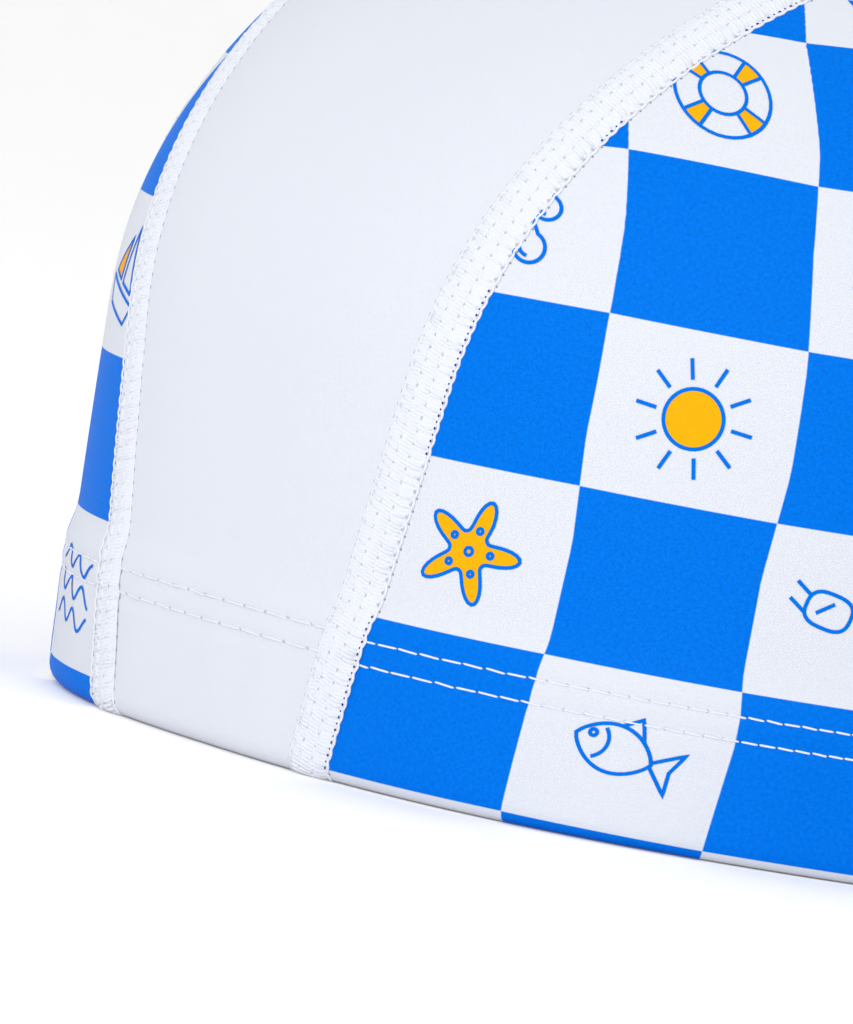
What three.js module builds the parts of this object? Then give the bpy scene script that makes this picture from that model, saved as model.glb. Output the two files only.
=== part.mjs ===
// A fabric swim cap that stands on its hem: three cloth panels, two raised flat seams.
// Millimetres, +Z up. The origin is on the floor under the middle of the cap.
// The forehead is towards -Y and the wearer's left is +X.

import * as THREE from 'three';

// The dome: an oval plan with full corners and a round profile.
const HALF_WIDTH = 77;
const HALF_LENGTH = 96.5;
const CROWN_HEIGHT = 105;
const WIDEST_HEIGHT = 39;
// Depth below the widest height at which the wall would close again: large, so it stays upright.
const LOWER_REACH = 400;
const PLAN_POWER = 2.57;
const PROFILE_POWER = 2.0;
// Share by which the back of the head is wider than the middle, and the forehead narrower.
const BACK_FULLNESS = 0.06;

// The cloth, single, and the gap that parts sewn neighbours.
const CLOTH = 1.0;
const GAP = 0.3;

// The two seams: how far their middle line is from the cap's middle plane, at the rim and at the top.
const SEAM_AT_RIM = 17.8;
const SEAM_SPREAD = 18.0;
const SEAM_SPREAD_TOP = 3.9;
const SEAM_HALF_WIDTH = 2.6;

// The hem, from the fold at the floor to the end of the turned-in cloth.
// out and inn are offsets from the dome, outwards positive.
const HEM = [
  { height: 0.0, out: -0.5, inn: -1.7 },
  { height: 0.7, out: 0.2, inn: -2.0 },
  { height: 2.4, out: 0.7, inn: -2.1 },
  { height: 7.0, out: 0.7, inn: -2.1 },
  { height: 12.0, out: 0.8, inn: -2.0 },
  { height: 14.6, out: 0.8, inn: -1.9 },
  { height: 16.6, out: 0.3, inn: -1.8 },
  { height: 17.6, out: 0.0, inn: -CLOTH },
];
const HEM_TOP = HEM[HEM.length - 1].height;

// The raised band of a seam, across its width: share of the half width, and height over the cloth.
const BAND = [
  { across: -1.0, rise: 0.15 },
  { across: -0.7, rise: 0.55 },
  { across: 0.0, rise: 0.65 },
  { across: 0.7, rise: 0.55 },
  { across: 1.0, rise: 0.15 },
];
const BAND_UNDER = 0.3;

// How finely each wall is stepped.
const SEAM_STEPS = 34;
const CENTRE_COLUMNS = 6;
const SIDE_COLUMNS = 28;
const SIDE_ROWS = 9;
// Where the seam stops being the end of a side panel's rows and becomes their top, in steps.
const CORNER_STEP = SIDE_ROWS - 1;

// Is a point inside (under 1), on (1) or outside (over 1) the dome.
function domeLevel(p) {
  const halfWidth = HALF_WIDTH * (1 + BACK_FULLNESS * p.y / HALF_LENGTH);
  const reach = p.z > WIDEST_HEIGHT ? CROWN_HEIGHT - WIDEST_HEIGHT : LOWER_REACH;
  const plan = (Math.abs(p.x / halfWidth) ** PLAN_POWER
    + Math.abs(p.y / HALF_LENGTH) ** PLAN_POWER) ** (1 / PLAN_POWER);
  const rise = Math.abs((p.z - WIDEST_HEIGHT) / reach);
  return (plan ** PROFILE_POWER + rise ** PROFILE_POWER) ** (1 / PROFILE_POWER);
}

// The point where a ray from inside the cap meets the dome.
function onDome(start, direction) {
  const ray = new THREE.Ray(start, direction.clone().normalize());
  const point = new THREE.Vector3();
  let near = 0;
  let far = 2 * HALF_LENGTH;
  for (let i = 0; i < 40; i += 1) {
    const middle = (near + far) / 2;
    ray.at(middle, point);
    if (domeLevel(point) < 1) {
      near = middle;
    } else {
      far = middle;
    }
  }
  return point;
}

// The dome's outward direction at a point; level in the hem, so that its fold lies flat on the floor.
function outward(p) {
  const step = 0.01;
  const slope = ['x', 'y', 'z'].map((key) => {
    const ahead = p.clone();
    const behind = p.clone();
    ahead[key] += step;
    behind[key] -= step;
    return domeLevel(ahead) - domeLevel(behind);
  });
  const normal = new THREE.Vector3(...slope);
  if (p.z <= HEM_TOP + 0.01) {
    normal.z = 0;
  }
  return normal.normalize();
}

// A point at x in the half plane that leans by lean radians, from the forehead (0) to the nape (PI).
function atLean(x, lean) {
  return onDome(new THREE.Vector3(x, 0, 0), new THREE.Vector3(0, -Math.cos(lean), Math.sin(lean)));
}

// A point at x and a height, on the forehead's side (end = -1) or the nape's (end = 1).
function atHeight(x, height, end) {
  return onDome(new THREE.Vector3(x, 0, height), new THREE.Vector3(0, end, 0));
}

// The x of a line that runs beside the seam's middle line, beside millimetres further out.
function besideSeam(lean, beside) {
  const s = Math.sin(lean);
  const middle = SEAM_AT_RIM + SEAM_SPREAD * s + SEAM_SPREAD_TOP * s * s;
  const normal = outward(atLean(middle, lean));
  return middle + beside * Math.sqrt(1 - normal.x ** 2);
}

// The same line's point at a height.
function besideSeamAtHeight(height, end, beside, share = 1) {
  let point = atHeight(SEAM_AT_RIM, height, end);
  for (let i = 0; i < 6; i += 1) {
    const lean = Math.atan2(point.z, -point.y);
    point = atHeight(share * besideSeam(lean, beside), height, end);
  }
  return point;
}

// One line of points from the forehead's rim over the crown to the nape's, share of the way to the seam.
function crownLine(beside, share = 1) {
  const front = HEM.map((row) => besideSeamAtHeight(row.height, -1, beside, share));
  const back = HEM.map((row) => besideSeamAtHeight(row.height, 1, beside, share)).reverse();
  const firstLean = Math.atan2(HEM_TOP, -front[front.length - 1].y);
  const lastLean = Math.atan2(HEM_TOP, -back[0].y);
  const arch = [];
  for (let i = 1; i < SEAM_STEPS; i += 1) {
    const lean = THREE.MathUtils.lerp(firstLean, lastLean, i / SEAM_STEPS);
    arch.push(atLean(share * besideSeam(lean, beside), lean));
  }
  return [...front, ...arch, ...back];
}

// The hem's offsets at a height, straight between the rows of its table.
function hemOffset(height, side) {
  for (let i = 1; i < HEM.length; i += 1) {
    if (height <= HEM[i].height + 1e-6) {
      const part = (height - HEM[i - 1].height) / (HEM[i].height - HEM[i - 1].height);
      return THREE.MathUtils.lerp(HEM[i - 1][side], HEM[i][side], part);
    }
  }
  return side === 'out' ? 0 : -CLOTH;
}

// A point of the cloth's outer or inner face, over a point of the dome.
function clothPoint(p, side, extra = 0) {
  return p.clone().addScaledVector(outward(p), hemOffset(p.z, side) + extra);
}

// One closed body between two grids of points, rows by columns.
function closedWall(outer, inner) {
  const rows = outer.length;
  const columns = outer[0].length;
  const points = [...outer.flat(), ...inner.flat()];
  const at = (layer, row, column) => layer * rows * columns + row * columns + column;
  const index = [];
  const quad = (a, b, c, d) => index.push(a, b, c, a, c, d);
  for (let r = 0; r + 1 < rows; r += 1) {
    for (let c = 0; c + 1 < columns; c += 1) {
      quad(at(0, r, c), at(0, r, c + 1), at(0, r + 1, c + 1), at(0, r + 1, c));
      quad(at(1, r, c), at(1, r + 1, c), at(1, r + 1, c + 1), at(1, r, c + 1));
    }
    const last = columns - 1;
    quad(at(0, r, 0), at(0, r + 1, 0), at(1, r + 1, 0), at(1, r, 0));
    quad(at(0, r, last), at(1, r, last), at(1, r + 1, last), at(0, r + 1, last));
  }
  for (let c = 0; c + 1 < columns; c += 1) {
    const last = rows - 1;
    quad(at(0, 0, c), at(1, 0, c), at(1, 0, c + 1), at(0, 0, c + 1));
    quad(at(0, last, c), at(0, last, c + 1), at(1, last, c + 1), at(1, last, c));
  }
  if (signedVolume(points, index) < 0) {
    index.reverse();
  }
  const geometry = new THREE.BufferGeometry().setFromPoints(points);
  geometry.setIndex(index);
  geometry.computeVertexNormals();
  return geometry;
}

// Six times the volume that a triangle list encloses, negative when its faces point inwards.
function signedVolume(points, index) {
  let volume = 0;
  for (let i = 0; i < index.length; i += 3) {
    const [a, b, c] = [points[index[i]], points[index[i + 1]], points[index[i + 2]]];
    volume += a.dot(b.clone().cross(c));
  }
  return volume;
}

// A cloth wall over a grid of dome points.
function clothWall(grid) {
  return closedWall(
    grid.map((row) => row.map((p) => clothPoint(p, 'out'))),
    grid.map((row) => row.map((p) => clothPoint(p, 'inn'))),
  );
}

// The centre panel's dome points: lines from rim to rim, side by side between the seams.
function centreGrid() {
  const columns = [];
  for (let i = 0; i <= CENTRE_COLUMNS; i += 1) {
    columns.push(crownLine(-(SEAM_HALF_WIDTH + GAP), 2 * i / CENTRE_COLUMNS - 1));
  }
  return columns;
}

// One level row of a side panel in the hem, from the front seam round the side to the back seam.
function hemRow(front, back) {
  const first = Math.atan2(front.x, -front.y);
  const last = Math.atan2(back.x, -back.y);
  const row = [];
  for (let i = 0; i <= SIDE_COLUMNS; i += 1) {
    const turn = THREE.MathUtils.lerp(first, last, i / SIDE_COLUMNS);
    const direction = new THREE.Vector3(Math.sin(turn), -Math.cos(turn), 0);
    row.push(onDome(new THREE.Vector3(0, 0, front.z), direction));
  }
  return row;
}

// A side panel's dome points: level rows in the hem, then rows that bend up to meet the seam's arch.
function sideGrid() {
  const edge = crownLine(SEAM_HALF_WIDTH + GAP);
  const rows = HEM.map((_, i) => hemRow(edge[i], edge[edge.length - 1 - i]));
  const base = rows[rows.length - 1];
  const arch = edge.slice(HEM.length - 1, edge.length - HEM.length + 1);
  const cornerEnd = arch.length - 1 - CORNER_STEP;
  const curve = new THREE.CatmullRomCurve3(arch.slice(CORNER_STEP, cornerEnd + 1));
  const top = curve.getSpacedPoints(SIDE_COLUMNS);
  for (let r = 1; r < SIDE_ROWS; r += 1) {
    const v = r / (SIDE_ROWS - 1);
    const left = arch[r];
    const right = arch[arch.length - 1 - r];
    const row = [];
    for (let c = 0; c <= SIDE_COLUMNS; c += 1) {
      const u = c / SIDE_COLUMNS;
      row.push(c === 0 ? left : c === SIDE_COLUMNS ? right : between(base, top, left, right, c, u, v));
    }
    rows.push(row);
  }
  return rows;
}

// A point inside the four sides of a patch, pushed out onto the dome.
function between(base, top, left, right, column, u, v) {
  const last = base.length - 1;
  const mix = new THREE.Vector3();
  mix.addScaledVector(base[column], 1 - v).addScaledVector(top[column], v);
  mix.addScaledVector(left, 1 - u).addScaledVector(right, u);
  mix.addScaledVector(base[0], -(1 - u) * (1 - v)).addScaledVector(base[last], -u * (1 - v));
  mix.addScaledVector(top[0], -(1 - u) * v).addScaledVector(top[last], -u * v);
  return onDome(new THREE.Vector3(0, 0, 0), mix);
}

// A seam band: the raised strip over the joined edges, and its flat back inside the cap.
function seamBand() {
  const lines = BAND.map((step) => crownLine(step.across * SEAM_HALF_WIDTH));
  return closedWall(
    lines.map((line, i) => line.map((p) => clothPoint(p, 'out', BAND[i].rise))),
    lines.map((line) => line.map((p) => clothPoint(p, 'inn', -BAND_UNDER))),
  );
}

// The same body on the other side of the middle plane.
function mirrored(geometry) {
  const copy = geometry.clone();
  copy.scale(-1, 1, 1);
  copy.setIndex([...geometry.index.array].reverse());
  copy.computeVertexNormals();
  return copy;
}

function piece(name, geometry, color, roughness) {
  const material = new THREE.MeshStandardMaterial({ color, roughness, metalness: 0 });
  const mesh = new THREE.Mesh(geometry, material);
  mesh.name = name;
  return mesh;
}

const white = 0xf0f2f8;
const blue = 0x0a80f2;
const thread = 0xe6eaf2;

const cap = new THREE.Group();
cap.name = 'swim_cap';

const side = clothWall(sideGrid());
const seam = seamBand();
cap.add(piece('centre_panel', clothWall(centreGrid()), white, 0.55));
cap.add(piece('left_side_panel', side, blue, 0.6));
cap.add(piece('right_side_panel', mirrored(side), blue, 0.6));
cap.add(piece('left_seam', seam, thread, 0.8));
cap.add(piece('right_seam', mirrored(seam), thread, 0.8));

export default cap;
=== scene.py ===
"""A fabric swim cap: a plain centre panel, checked side panels, raised flat seams and a stitched hem."""

from collections import namedtuple
from math import cos, pi, radians, sin

import bpy
import numpy as np
from bpy.props import FloatProperty, FloatVectorProperty, IntProperty, PointerProperty
from bpy.types import Operator, Panel, PropertyGroup
from mathutils import Matrix, Vector
from mathutils.geometry import delaunay_2d_cdt


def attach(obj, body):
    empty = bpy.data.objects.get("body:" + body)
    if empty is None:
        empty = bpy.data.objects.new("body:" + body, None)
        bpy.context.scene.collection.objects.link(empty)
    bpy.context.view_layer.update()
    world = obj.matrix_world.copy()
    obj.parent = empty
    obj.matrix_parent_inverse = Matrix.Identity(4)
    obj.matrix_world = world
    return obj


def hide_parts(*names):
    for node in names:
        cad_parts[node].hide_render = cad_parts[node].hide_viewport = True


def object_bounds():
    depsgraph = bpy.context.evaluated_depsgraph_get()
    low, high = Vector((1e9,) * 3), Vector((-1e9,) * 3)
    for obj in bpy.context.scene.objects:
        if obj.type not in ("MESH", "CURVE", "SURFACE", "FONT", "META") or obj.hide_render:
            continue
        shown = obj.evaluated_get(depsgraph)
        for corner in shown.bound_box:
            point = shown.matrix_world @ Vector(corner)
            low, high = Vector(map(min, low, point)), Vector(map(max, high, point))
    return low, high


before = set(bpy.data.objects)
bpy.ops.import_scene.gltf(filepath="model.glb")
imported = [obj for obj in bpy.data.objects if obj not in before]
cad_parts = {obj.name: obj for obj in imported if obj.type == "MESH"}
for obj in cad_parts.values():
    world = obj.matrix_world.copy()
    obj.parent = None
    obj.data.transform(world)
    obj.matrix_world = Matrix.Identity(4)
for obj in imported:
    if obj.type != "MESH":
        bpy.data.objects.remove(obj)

bl_info = {
    "name": "Swim cap",
    "version": (1, 0, 0),
    "blender": (4, 5, 0),
    "location": "3D View > Sidebar > Swim cap",
    "description": "Builds a panelled fabric swim cap with its print, seams and stitches",
    "category": "Object",
}

MM = 0.001
Side = namedtuple("Side", "name odd way")
SIDES = (Side("left", False, 1), Side("right", True, -1))
CAD_BOX = [list(corner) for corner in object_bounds()]
CROWN_HEIGHT = CAD_BOX[1][2]

HemRow = namedtuple("HemRow", "height out inn")
BandStep = namedtuple("BandStep", "across rise")
PrintDrift = namedtuple("PrintDrift", "up first second first_rise second_rise")
StitchLength = namedtuple("StitchLength", "along length")

# The hem above its fold, in millimetres: how far its outer and inner faces stand off the dome.
HEM_TABLE = (
    HemRow(2.0, 0.7, -2.1),
    HemRow(7.0, 0.7, -2.1),
    HemRow(12.0, 0.8, -2.0),
    HemRow(14.6, 0.8, -1.9),
    HemRow(16.6, 0.3, -1.8),
    HemRow(17.6, 0.0, -1.0),
)
# The fold under it: its lowest height, the turns in degrees at which it is stepped, and the step above it.
FOLD_BOTTOM = 0.10
FOLD_TURNS = (8, 26, 44, 62, 78)
HEM_ROW_STEP = 0.6
# How far from a seam's middle the hem's stitches end.
SEAM_CLEAR = 2.7
# The dip of the outer face along each row of hem stitches, and how far up and down it reaches.
ROW_DIP = 0.16
ROW_DIP_REACH = 0.55
# The small waves below the stitches: their depth, their middle height, how far up and down they reach, and
# the pace and start of each.
HEM_WAVE = 0.035
HEM_WAVE_HEIGHT = 9.0
HEM_WAVE_REACH = 6.5
HEM_WAVES = ((0.83, 0.0), (0.51, 1.3), (0.29, 0.4))
# Heights over which the hem's profile is evened out.
HEM_NUDGES = (-0.8, -0.4, 0.0, 0.4, 0.8)
# A height in the hem's map that lies outside the hem.
ABOVE_HEM = 50.0

# Halvings in the search for a point on the dome.
HALVINGS = 34

# How finely each cloth, the print and the lines of stitches are stepped.
CENTRE_COLUMNS = 44
SIDE_COLUMNS = 210
SIDE_ROWS = 64
CROWN_STEPS = 210
SEAM_STEPS = 230
SEAM_COLUMNS = 13
PRINT_COLUMNS = 321
PRINT_ROWS = 260
SIDE_LINE_STEPS = 240
CENTRE_LINE_STEPS = 60

# The cloth under a seam's threads reaches this far beside its middle, and inside the rim it goes this far
# up, in millimetres.
SEAM_REACH = 3.6
TURNED_IN = 3.6

# The pits along the hem's stitches, which dip the cloth and hold painted shade: half length as a share of a
# stitch, and half height in millimetres.
PIT_LENGTH = 0.06
PIT_HEIGHT = 0.14
# How sharp a check's edge is, and how uneven its ink.
CHECK_EDGE = 55.0
INK_MOTTLE = 0.60

# How the sewn and stretched cloth moves its print, in millimetres, at lengths up the panel from the rim:
# back along the first column line and the second, and up the panel at those two lines.
PRINT_DRIFT = (
    PrintDrift(0.0, -2.4, -2.1, -0.1, -0.3),
    PrintDrift(6.0, -1.9, -1.3, 0.0, -0.2),
    PrintDrift(11.0, -1.35, -0.6, 0.1, -0.1),
    PrintDrift(14.0, -1.0, -0.5, 0.1, -0.1),
    PrintDrift(18.0, -0.5, -0.9, 0.1, -0.1),
    PrintDrift(27.0, 0.1, -0.7, 0.0, -0.2),
    PrintDrift(37.0, -0.3, 0.4, 0.1, -0.2),
    PrintDrift(47.0, 0.2, 0.4, 0.3, -0.1),
    PrintDrift(57.0, 1.0, -0.2, 0.7, -0.1),
    PrintDrift(68.0, 1.1, -0.3, 1.3, -0.1),
    PrintDrift(80.0, 1.1, -1.8, 2.2, 0.1),
)

# The thread bed of a seam, across its half width in millimetres: height over the cloth.
BAND_TABLE = (
    BandStep(0.0, 0.32),
    BandStep(1.2, 0.31),
    BandStep(1.8, 0.26),
    BandStep(2.2, 0.16),
    BandStep(2.45, 0.07),
    BandStep(2.62, 0.02),
)

# Length of the hem's stitches, in millimetres along a panel: from the wearer's right on the centre
# panel, and from the forehead's seam on a side panel.
CENTRE_STITCHES = (
    StitchLength(0.0, 3.2),
    StitchLength(12.0, 2.8),
    StitchLength(19.0, 3.5),
    StitchLength(35.0, 3.6),
)
SIDE_STITCHES = (
    StitchLength(0.0, 2.7),
    StitchLength(10.0, 2.45),
    StitchLength(20.0, 2.1),
    StitchLength(32.0, 1.85),
    StitchLength(41.0, 1.7),
    StitchLength(48.0, 1.5),
    StitchLength(70.0, 2.0),
)

# The needle stitches along a seam: how far they run beside its middle, in millimetres, and the share of a
# stitch by which they start.
NEEDLE_BARS = ((0.85, 0.5), (-0.85, 0.7))

# The threads' radii, in millimetres.
COVER_RADIUS = 0.18
BAR_RADIUS = 0.17
DASH_RADIUS = 0.107
LOOPER_RADIUS = 0.13

# The threads that wave along a seam's edges: their middle, their swing to each side and their radius.
EdgeThread = namedtuple("EdgeThread", "middle swing radius")
EDGE_THREADS = (EdgeThread(2.79, 0.09, 0.14), EdgeThread(-2.50, 0.05, 0.11))

# The painted shade in the dots along a seam: in its needle holes, in the dents of its needle rows and in the
# gaps beside its edge threads.
NEEDLE_SHADES = (
    ("needle_hole", (0.040, 0.050, 0.27)),
    ("needle_hole_in_white", (0.26, 0.26, 0.275)),
    ("needle_pit", (0.46, 0.47, 0.50)),
    ("needle_dent", (0.60, 0.615, 0.67)),
)

# Each row of dots of painted shade, in needle holes and in the gaps beside the edge threads: how far it runs
# beside the seam's middle in millimetres, the share of a stitch by which it starts, a dot's half width, how
# many times longer than wide it is, its height over the cloth, its shade on white cloth and on blue, and on
# which of them the row shows.
NeedleRow = namedtuple("NeedleRow", "across share size long rise shade shade_in_blue on")
NEEDLE_ROWS = (
    NeedleRow(2.47, 0.5, 0.12, 1.25, 0.105, 3, 0, "both"),
    NeedleRow(2.47, 0.0, 0.09, 1.2, 0.11, 1, 0, "blue"),
    NeedleRow(2.99, 0.0, 0.09, 1.4, 0.02, 1, 1, "white"),
    NeedleRow(-2.71, 0.5, 0.08, 2.2, 0.03, 2, 2, "both"),
    NeedleRow(0.85, 0.0, 0.08, 2.2, 0.385, 3, 3, "both"),
    NeedleRow(-0.85, 0.2, 0.08, 2.2, 0.385, 3, 3, "both"),
)


def metres(name, default, description):
    """A setting in metres."""
    return FloatProperty(name=name, description=description, default=default, unit="LENGTH")


def factor(name, default, description):
    """A setting that is a plain number."""
    return FloatProperty(name=name, description=description, default=default)


def degrees(name, default, description):
    """An angle, whose default is given in degrees."""
    return FloatProperty(name=name, description=description, default=radians(default), subtype="ANGLE")


def rgb(name, default, description):
    """A colour."""
    return FloatVectorProperty(
        name=name, description=description, default=default, subtype="COLOR", min=0, max=1
    )


class SWIMCAP_PG_shape(PropertyGroup):
    """Sizes of the cap's form."""

    half_width: metres("Half width", 0.077, "From the middle plane to the widest point")
    half_length: metres("Half length", 0.0965, "From the middle to the forehead")
    crown_height: metres("Crown height", CROWN_HEIGHT, "From the rim to the crown")
    widest_height: metres("Widest height", 0.039, "Height where the cap is widest")
    lower_reach: metres("Lower reach", 0.4, "Depth at which the wall would close again")
    plan_power: factor("Plan power", 2.57, "Fullness of the plan's corners")
    profile_power: factor("Profile power", 2.0, "Fullness of the profile")
    back_fullness: factor("Back fullness", 0.06, "Share by which the back is wider than the middle")
    seam_at_rim: metres("Seam at rim", 0.0178, "Seam's middle line from the middle plane, at the rim")
    seam_spread: metres("Seam spread", 0.018, "How much further out the seam runs at the top")
    seam_spread_top: metres("Seam spread, top", 0.0039, "The part of that spread near the crown")
    cloth: metres("Cloth", 0.001, "Thickness of the panels")
    panel_edge: metres("Panel edge", 0.0004, "From the seam's middle line to the cloth's cut edge")


class SWIMCAP_PG_print(PropertyGroup):
    """Sizes and colours of the print."""

    check_width: metres("Check width", 0.019, "Width of one check round the head")
    check_height: metres("Check height", 0.01605, "Height of one check up the panel")
    first_column: metres("First column", -0.0972, "Place of the first column line from the side's middle")
    seam_check_width: metres("Check width at seam", 0.0206, "Width of the stretched check beside the seam")
    right_shift: metres("Right shift", 0.0016, "How much higher the print sits on the wearer's right")
    first_row: metres("First row", 0.0013, "Height of the lowest row line")
    second_row: metres("Second row", 0.01625, "Height of the next row line, which the hem draws down")
    lean: factor("Lean", 0.55, "How much the column lines close up towards the crown")
    line: metres("Line", 0.00036, "Width of a drawn line")
    blue: rgb("Blue", (0.0, 0.142, 0.645), "Blue ink")
    yellow: rgb("Yellow", (0.80, 0.37, 0.004), "Yellow ink")
    white: rgb("White", (0.61, 0.635, 0.70), "Bare cloth")


class SWIMCAP_PG_sewing(PropertyGroup):
    """Sizes and colours of the threads."""

    hem_row_low: metres("Lower hem row", 0.0116, "Height of the lower row of hem stitches")
    hem_row_high: metres("Upper hem row", 0.0139, "Height of the upper row of hem stitches")
    hem_stitch: metres("Hem stitch", 0.0023, "Length of an average stitch of the hem")
    front_row_rise: metres("Front row rise", 0.0003, "How much higher the hem's rows run on the centre panel")
    seam_pitch: metres("Seam pitch", 0.00128, "Length of a seam stitch")
    cover_pitch: metres("Cover pitch", 0.00037, "Spacing of the seam's crossing threads")
    seed: IntProperty(name="Seed", description="Seed of the stitches' small unevenness", default=7)
    thread: rgb("Thread", (0.69, 0.715, 0.785), "Sewing thread")


class SWIMCAP_PG_stage(PropertyGroup):
    """The camera."""

    azimuth: degrees("Azimuth", 54.52, "Camera's direction, from the forehead to the wearer's left")
    elevation: degrees("Elevation", 4.27, "Camera's height angle")
    roll: degrees("Roll", 9.22, "Camera's turn about its line of sight")
    distance: metres("Distance", 0.897, "From the camera to the point it looks at")
    target_side: metres("Target, sideways", -0.060, "Point looked at, along the camera's level direction")
    target_height: metres("Target, height", 0.02136, "Height of the point looked at")
    focal_share: factor("Focal share", 8.5455, "Focal length over the longer side of the picture")


def inside(a, b, share):
    """The value share of the way from a to b."""
    return a + (b - a) * share


def stacked(*parts):
    """Numbers side by side, as points or places."""
    return np.stack(np.broadcast_arrays(*parts), axis=-1)


def unit(vectors):
    return vectors / np.linalg.norm(vectors, axis=-1, keepdims=True)


def turn_of(points):
    """How far points are turned from the forehead, 0, to the nape, pi."""
    return np.arctan2(points[..., 0], -points[..., 1])


def lean_of(points):
    """How far the half planes of points lean from the forehead, 0, to the nape, pi."""
    return np.arctan2(points[..., 2], -points[..., 1])


def between(grid, i, j):
    """A grid's values between its rows and columns."""
    i0 = np.clip(i.astype(int), 0, grid.shape[0] - 2)
    j0 = np.clip(j.astype(int), 0, grid.shape[1] - 2)
    u, v = i - i0, j - j0
    if grid.ndim > 2:
        u, v = u[..., None], v[..., None]
    low = inside(grid[i0, j0], grid[i0, j0 + 1], v)
    return inside(low, inside(grid[i0 + 1, j0], grid[i0 + 1, j0 + 1], v), u)


class Dome:
    """The form of the cap's outer face, with the forehead towards -Y."""

    def __init__(self, shape):
        self.shape = shape
        self.hem_height = HEM_TABLE[-1].height * MM

    def half_width(self, y):
        """Half the greatest width at a distance from the middle, towards the nape."""
        s = self.shape
        return s.half_width * (1 + s.back_fullness * y / s.half_length)

    def closing(self, height):
        """How far the profile has closed at a height: 0 where it is widest and 1 at the crown."""
        s = self.shape
        reach = np.where(height > s.widest_height, s.crown_height - s.widest_height, s.lower_reach)
        return np.abs((height - s.widest_height) / reach) ** s.profile_power

    def level(self, p):
        """Under 1 inside the dome, 1 on it and over 1 outside."""
        s = self.shape
        across = np.abs(p[..., 0] / self.half_width(p[..., 1])) ** s.plan_power
        along = np.abs(p[..., 1] / s.half_length) ** s.plan_power
        plan = (across + along) ** (s.profile_power / s.plan_power)
        return (plan + self.closing(p[..., 2])) ** (1 / s.profile_power)

    def meet(self, start, direction):
        """Where rays from inside the cap meet the dome."""
        start, direction = np.broadcast_arrays(start, direction)
        direction = unit(direction)
        near = np.zeros(direction.shape[:-1])
        far = np.full(direction.shape[:-1], 2 * self.shape.half_length)
        for _ in range(HALVINGS):
            middle = (near + far) / 2
            short = self.level(start + direction * middle[..., None]) < 1
            near = np.where(short, middle, near)
            far = np.where(short, far, middle)
        return start + direction * far[..., None]

    def outward(self, p):
        """The dome's outward direction, level in the hem."""
        step = 1e-5
        slopes = []
        for axis in range(3):
            move = np.zeros(3)
            move[axis] = step
            slopes.append(self.level(p + move) - self.level(p - move))
        normal = np.stack(slopes, axis=-1)
        normal[..., 2] = np.where(p[..., 2] <= self.hem_height + step, 0, normal[..., 2])
        return unit(normal)

    def at_lean(self, x, lean):
        """Points at x in half planes that lean from the forehead, 0, to the nape, pi."""
        return self.meet(stacked(x, 0.0, 0.0), stacked(0.0, -np.cos(lean), np.sin(lean)))

    def at_height(self, x, height, end):
        """Points at x and a height, at the forehead's end (-1) or the nape's (1)."""
        return self.meet(stacked(x, 0.0, height), stacked(0.0, end, 0.0))

    def at_turn(self, turn, height):
        """Points at a height, turned from the forehead, 0, to the nape, pi."""
        return self.meet(stacked(0.0, 0.0, height), stacked(np.sin(turn), -np.cos(turn), 0.0))

    def beside_seam(self, lean, beside):
        """The x of a line that runs beside metres outside the seam's middle line."""
        s = self.shape
        rise = np.sin(lean)
        middle = s.seam_at_rim + s.seam_spread * rise + s.seam_spread_top * rise**2
        normal = self.outward(self.at_lean(middle, lean))
        return middle + beside * np.sqrt(1 - normal[..., 0] ** 2)

    def beside_seam_at(self, height, end, beside, share=1.0):
        """Points of that line at heights, or at a share of its distance from the middle plane."""
        height, share = np.broadcast_arrays(np.asarray(height, float), np.asarray(share, float))
        point = self.at_height(self.shape.seam_at_rim, height, end)
        for _ in range(5):
            point = self.at_height(share * self.beside_seam(lean_of(point), beside), height, end)
        return point

    def crown_lines(self, beside, heights, steps, shares=(1.0,)):
        """Lines from the forehead's rim over the crown to the nape's, one for each share."""
        shares = np.asarray(shares, float)[:, None]
        front = self.beside_seam_at(heights[None, :], -1, beside, shares)
        back = self.beside_seam_at(heights[None, ::-1], 1, beside, shares)
        first = np.arctan2(self.hem_height, -front[:, -1:, 1])
        last = np.arctan2(self.hem_height, -back[:, :1, 1])
        lean = inside(first, last, np.arange(1, steps)[None, :] / steps)
        arch = self.at_lean(shares * self.beside_seam(lean, beside), lean)
        return np.concatenate([front, arch, back], axis=1)


def run(points):
    """Distance along a row of points from its first."""
    steps = np.linalg.norm(np.diff(points, axis=0), axis=1)
    return np.concatenate([[0], np.cumsum(steps)])


def sampled(values, places, wanted):
    """A line's values where its places reach the wanted ones."""
    return np.stack([np.interp(wanted, places, values[:, k]) for k in range(values.shape[1])], axis=1)


def hem_heights():
    """Heights of the hem's rows, from the fold to the end of the turned-in cloth."""
    foot = HEM_TABLE[0].height
    turned = [FOLD_BOTTOM + (foot - FOLD_BOTTOM) * (1 - cos(radians(a))) for a in FOLD_TURNS]
    top = HEM_TABLE[-1].height
    straight = np.linspace(foot, top, int(round((top - foot) / HEM_ROW_STEP)) + 1)
    return np.concatenate([turned, straight]) * MM


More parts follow.
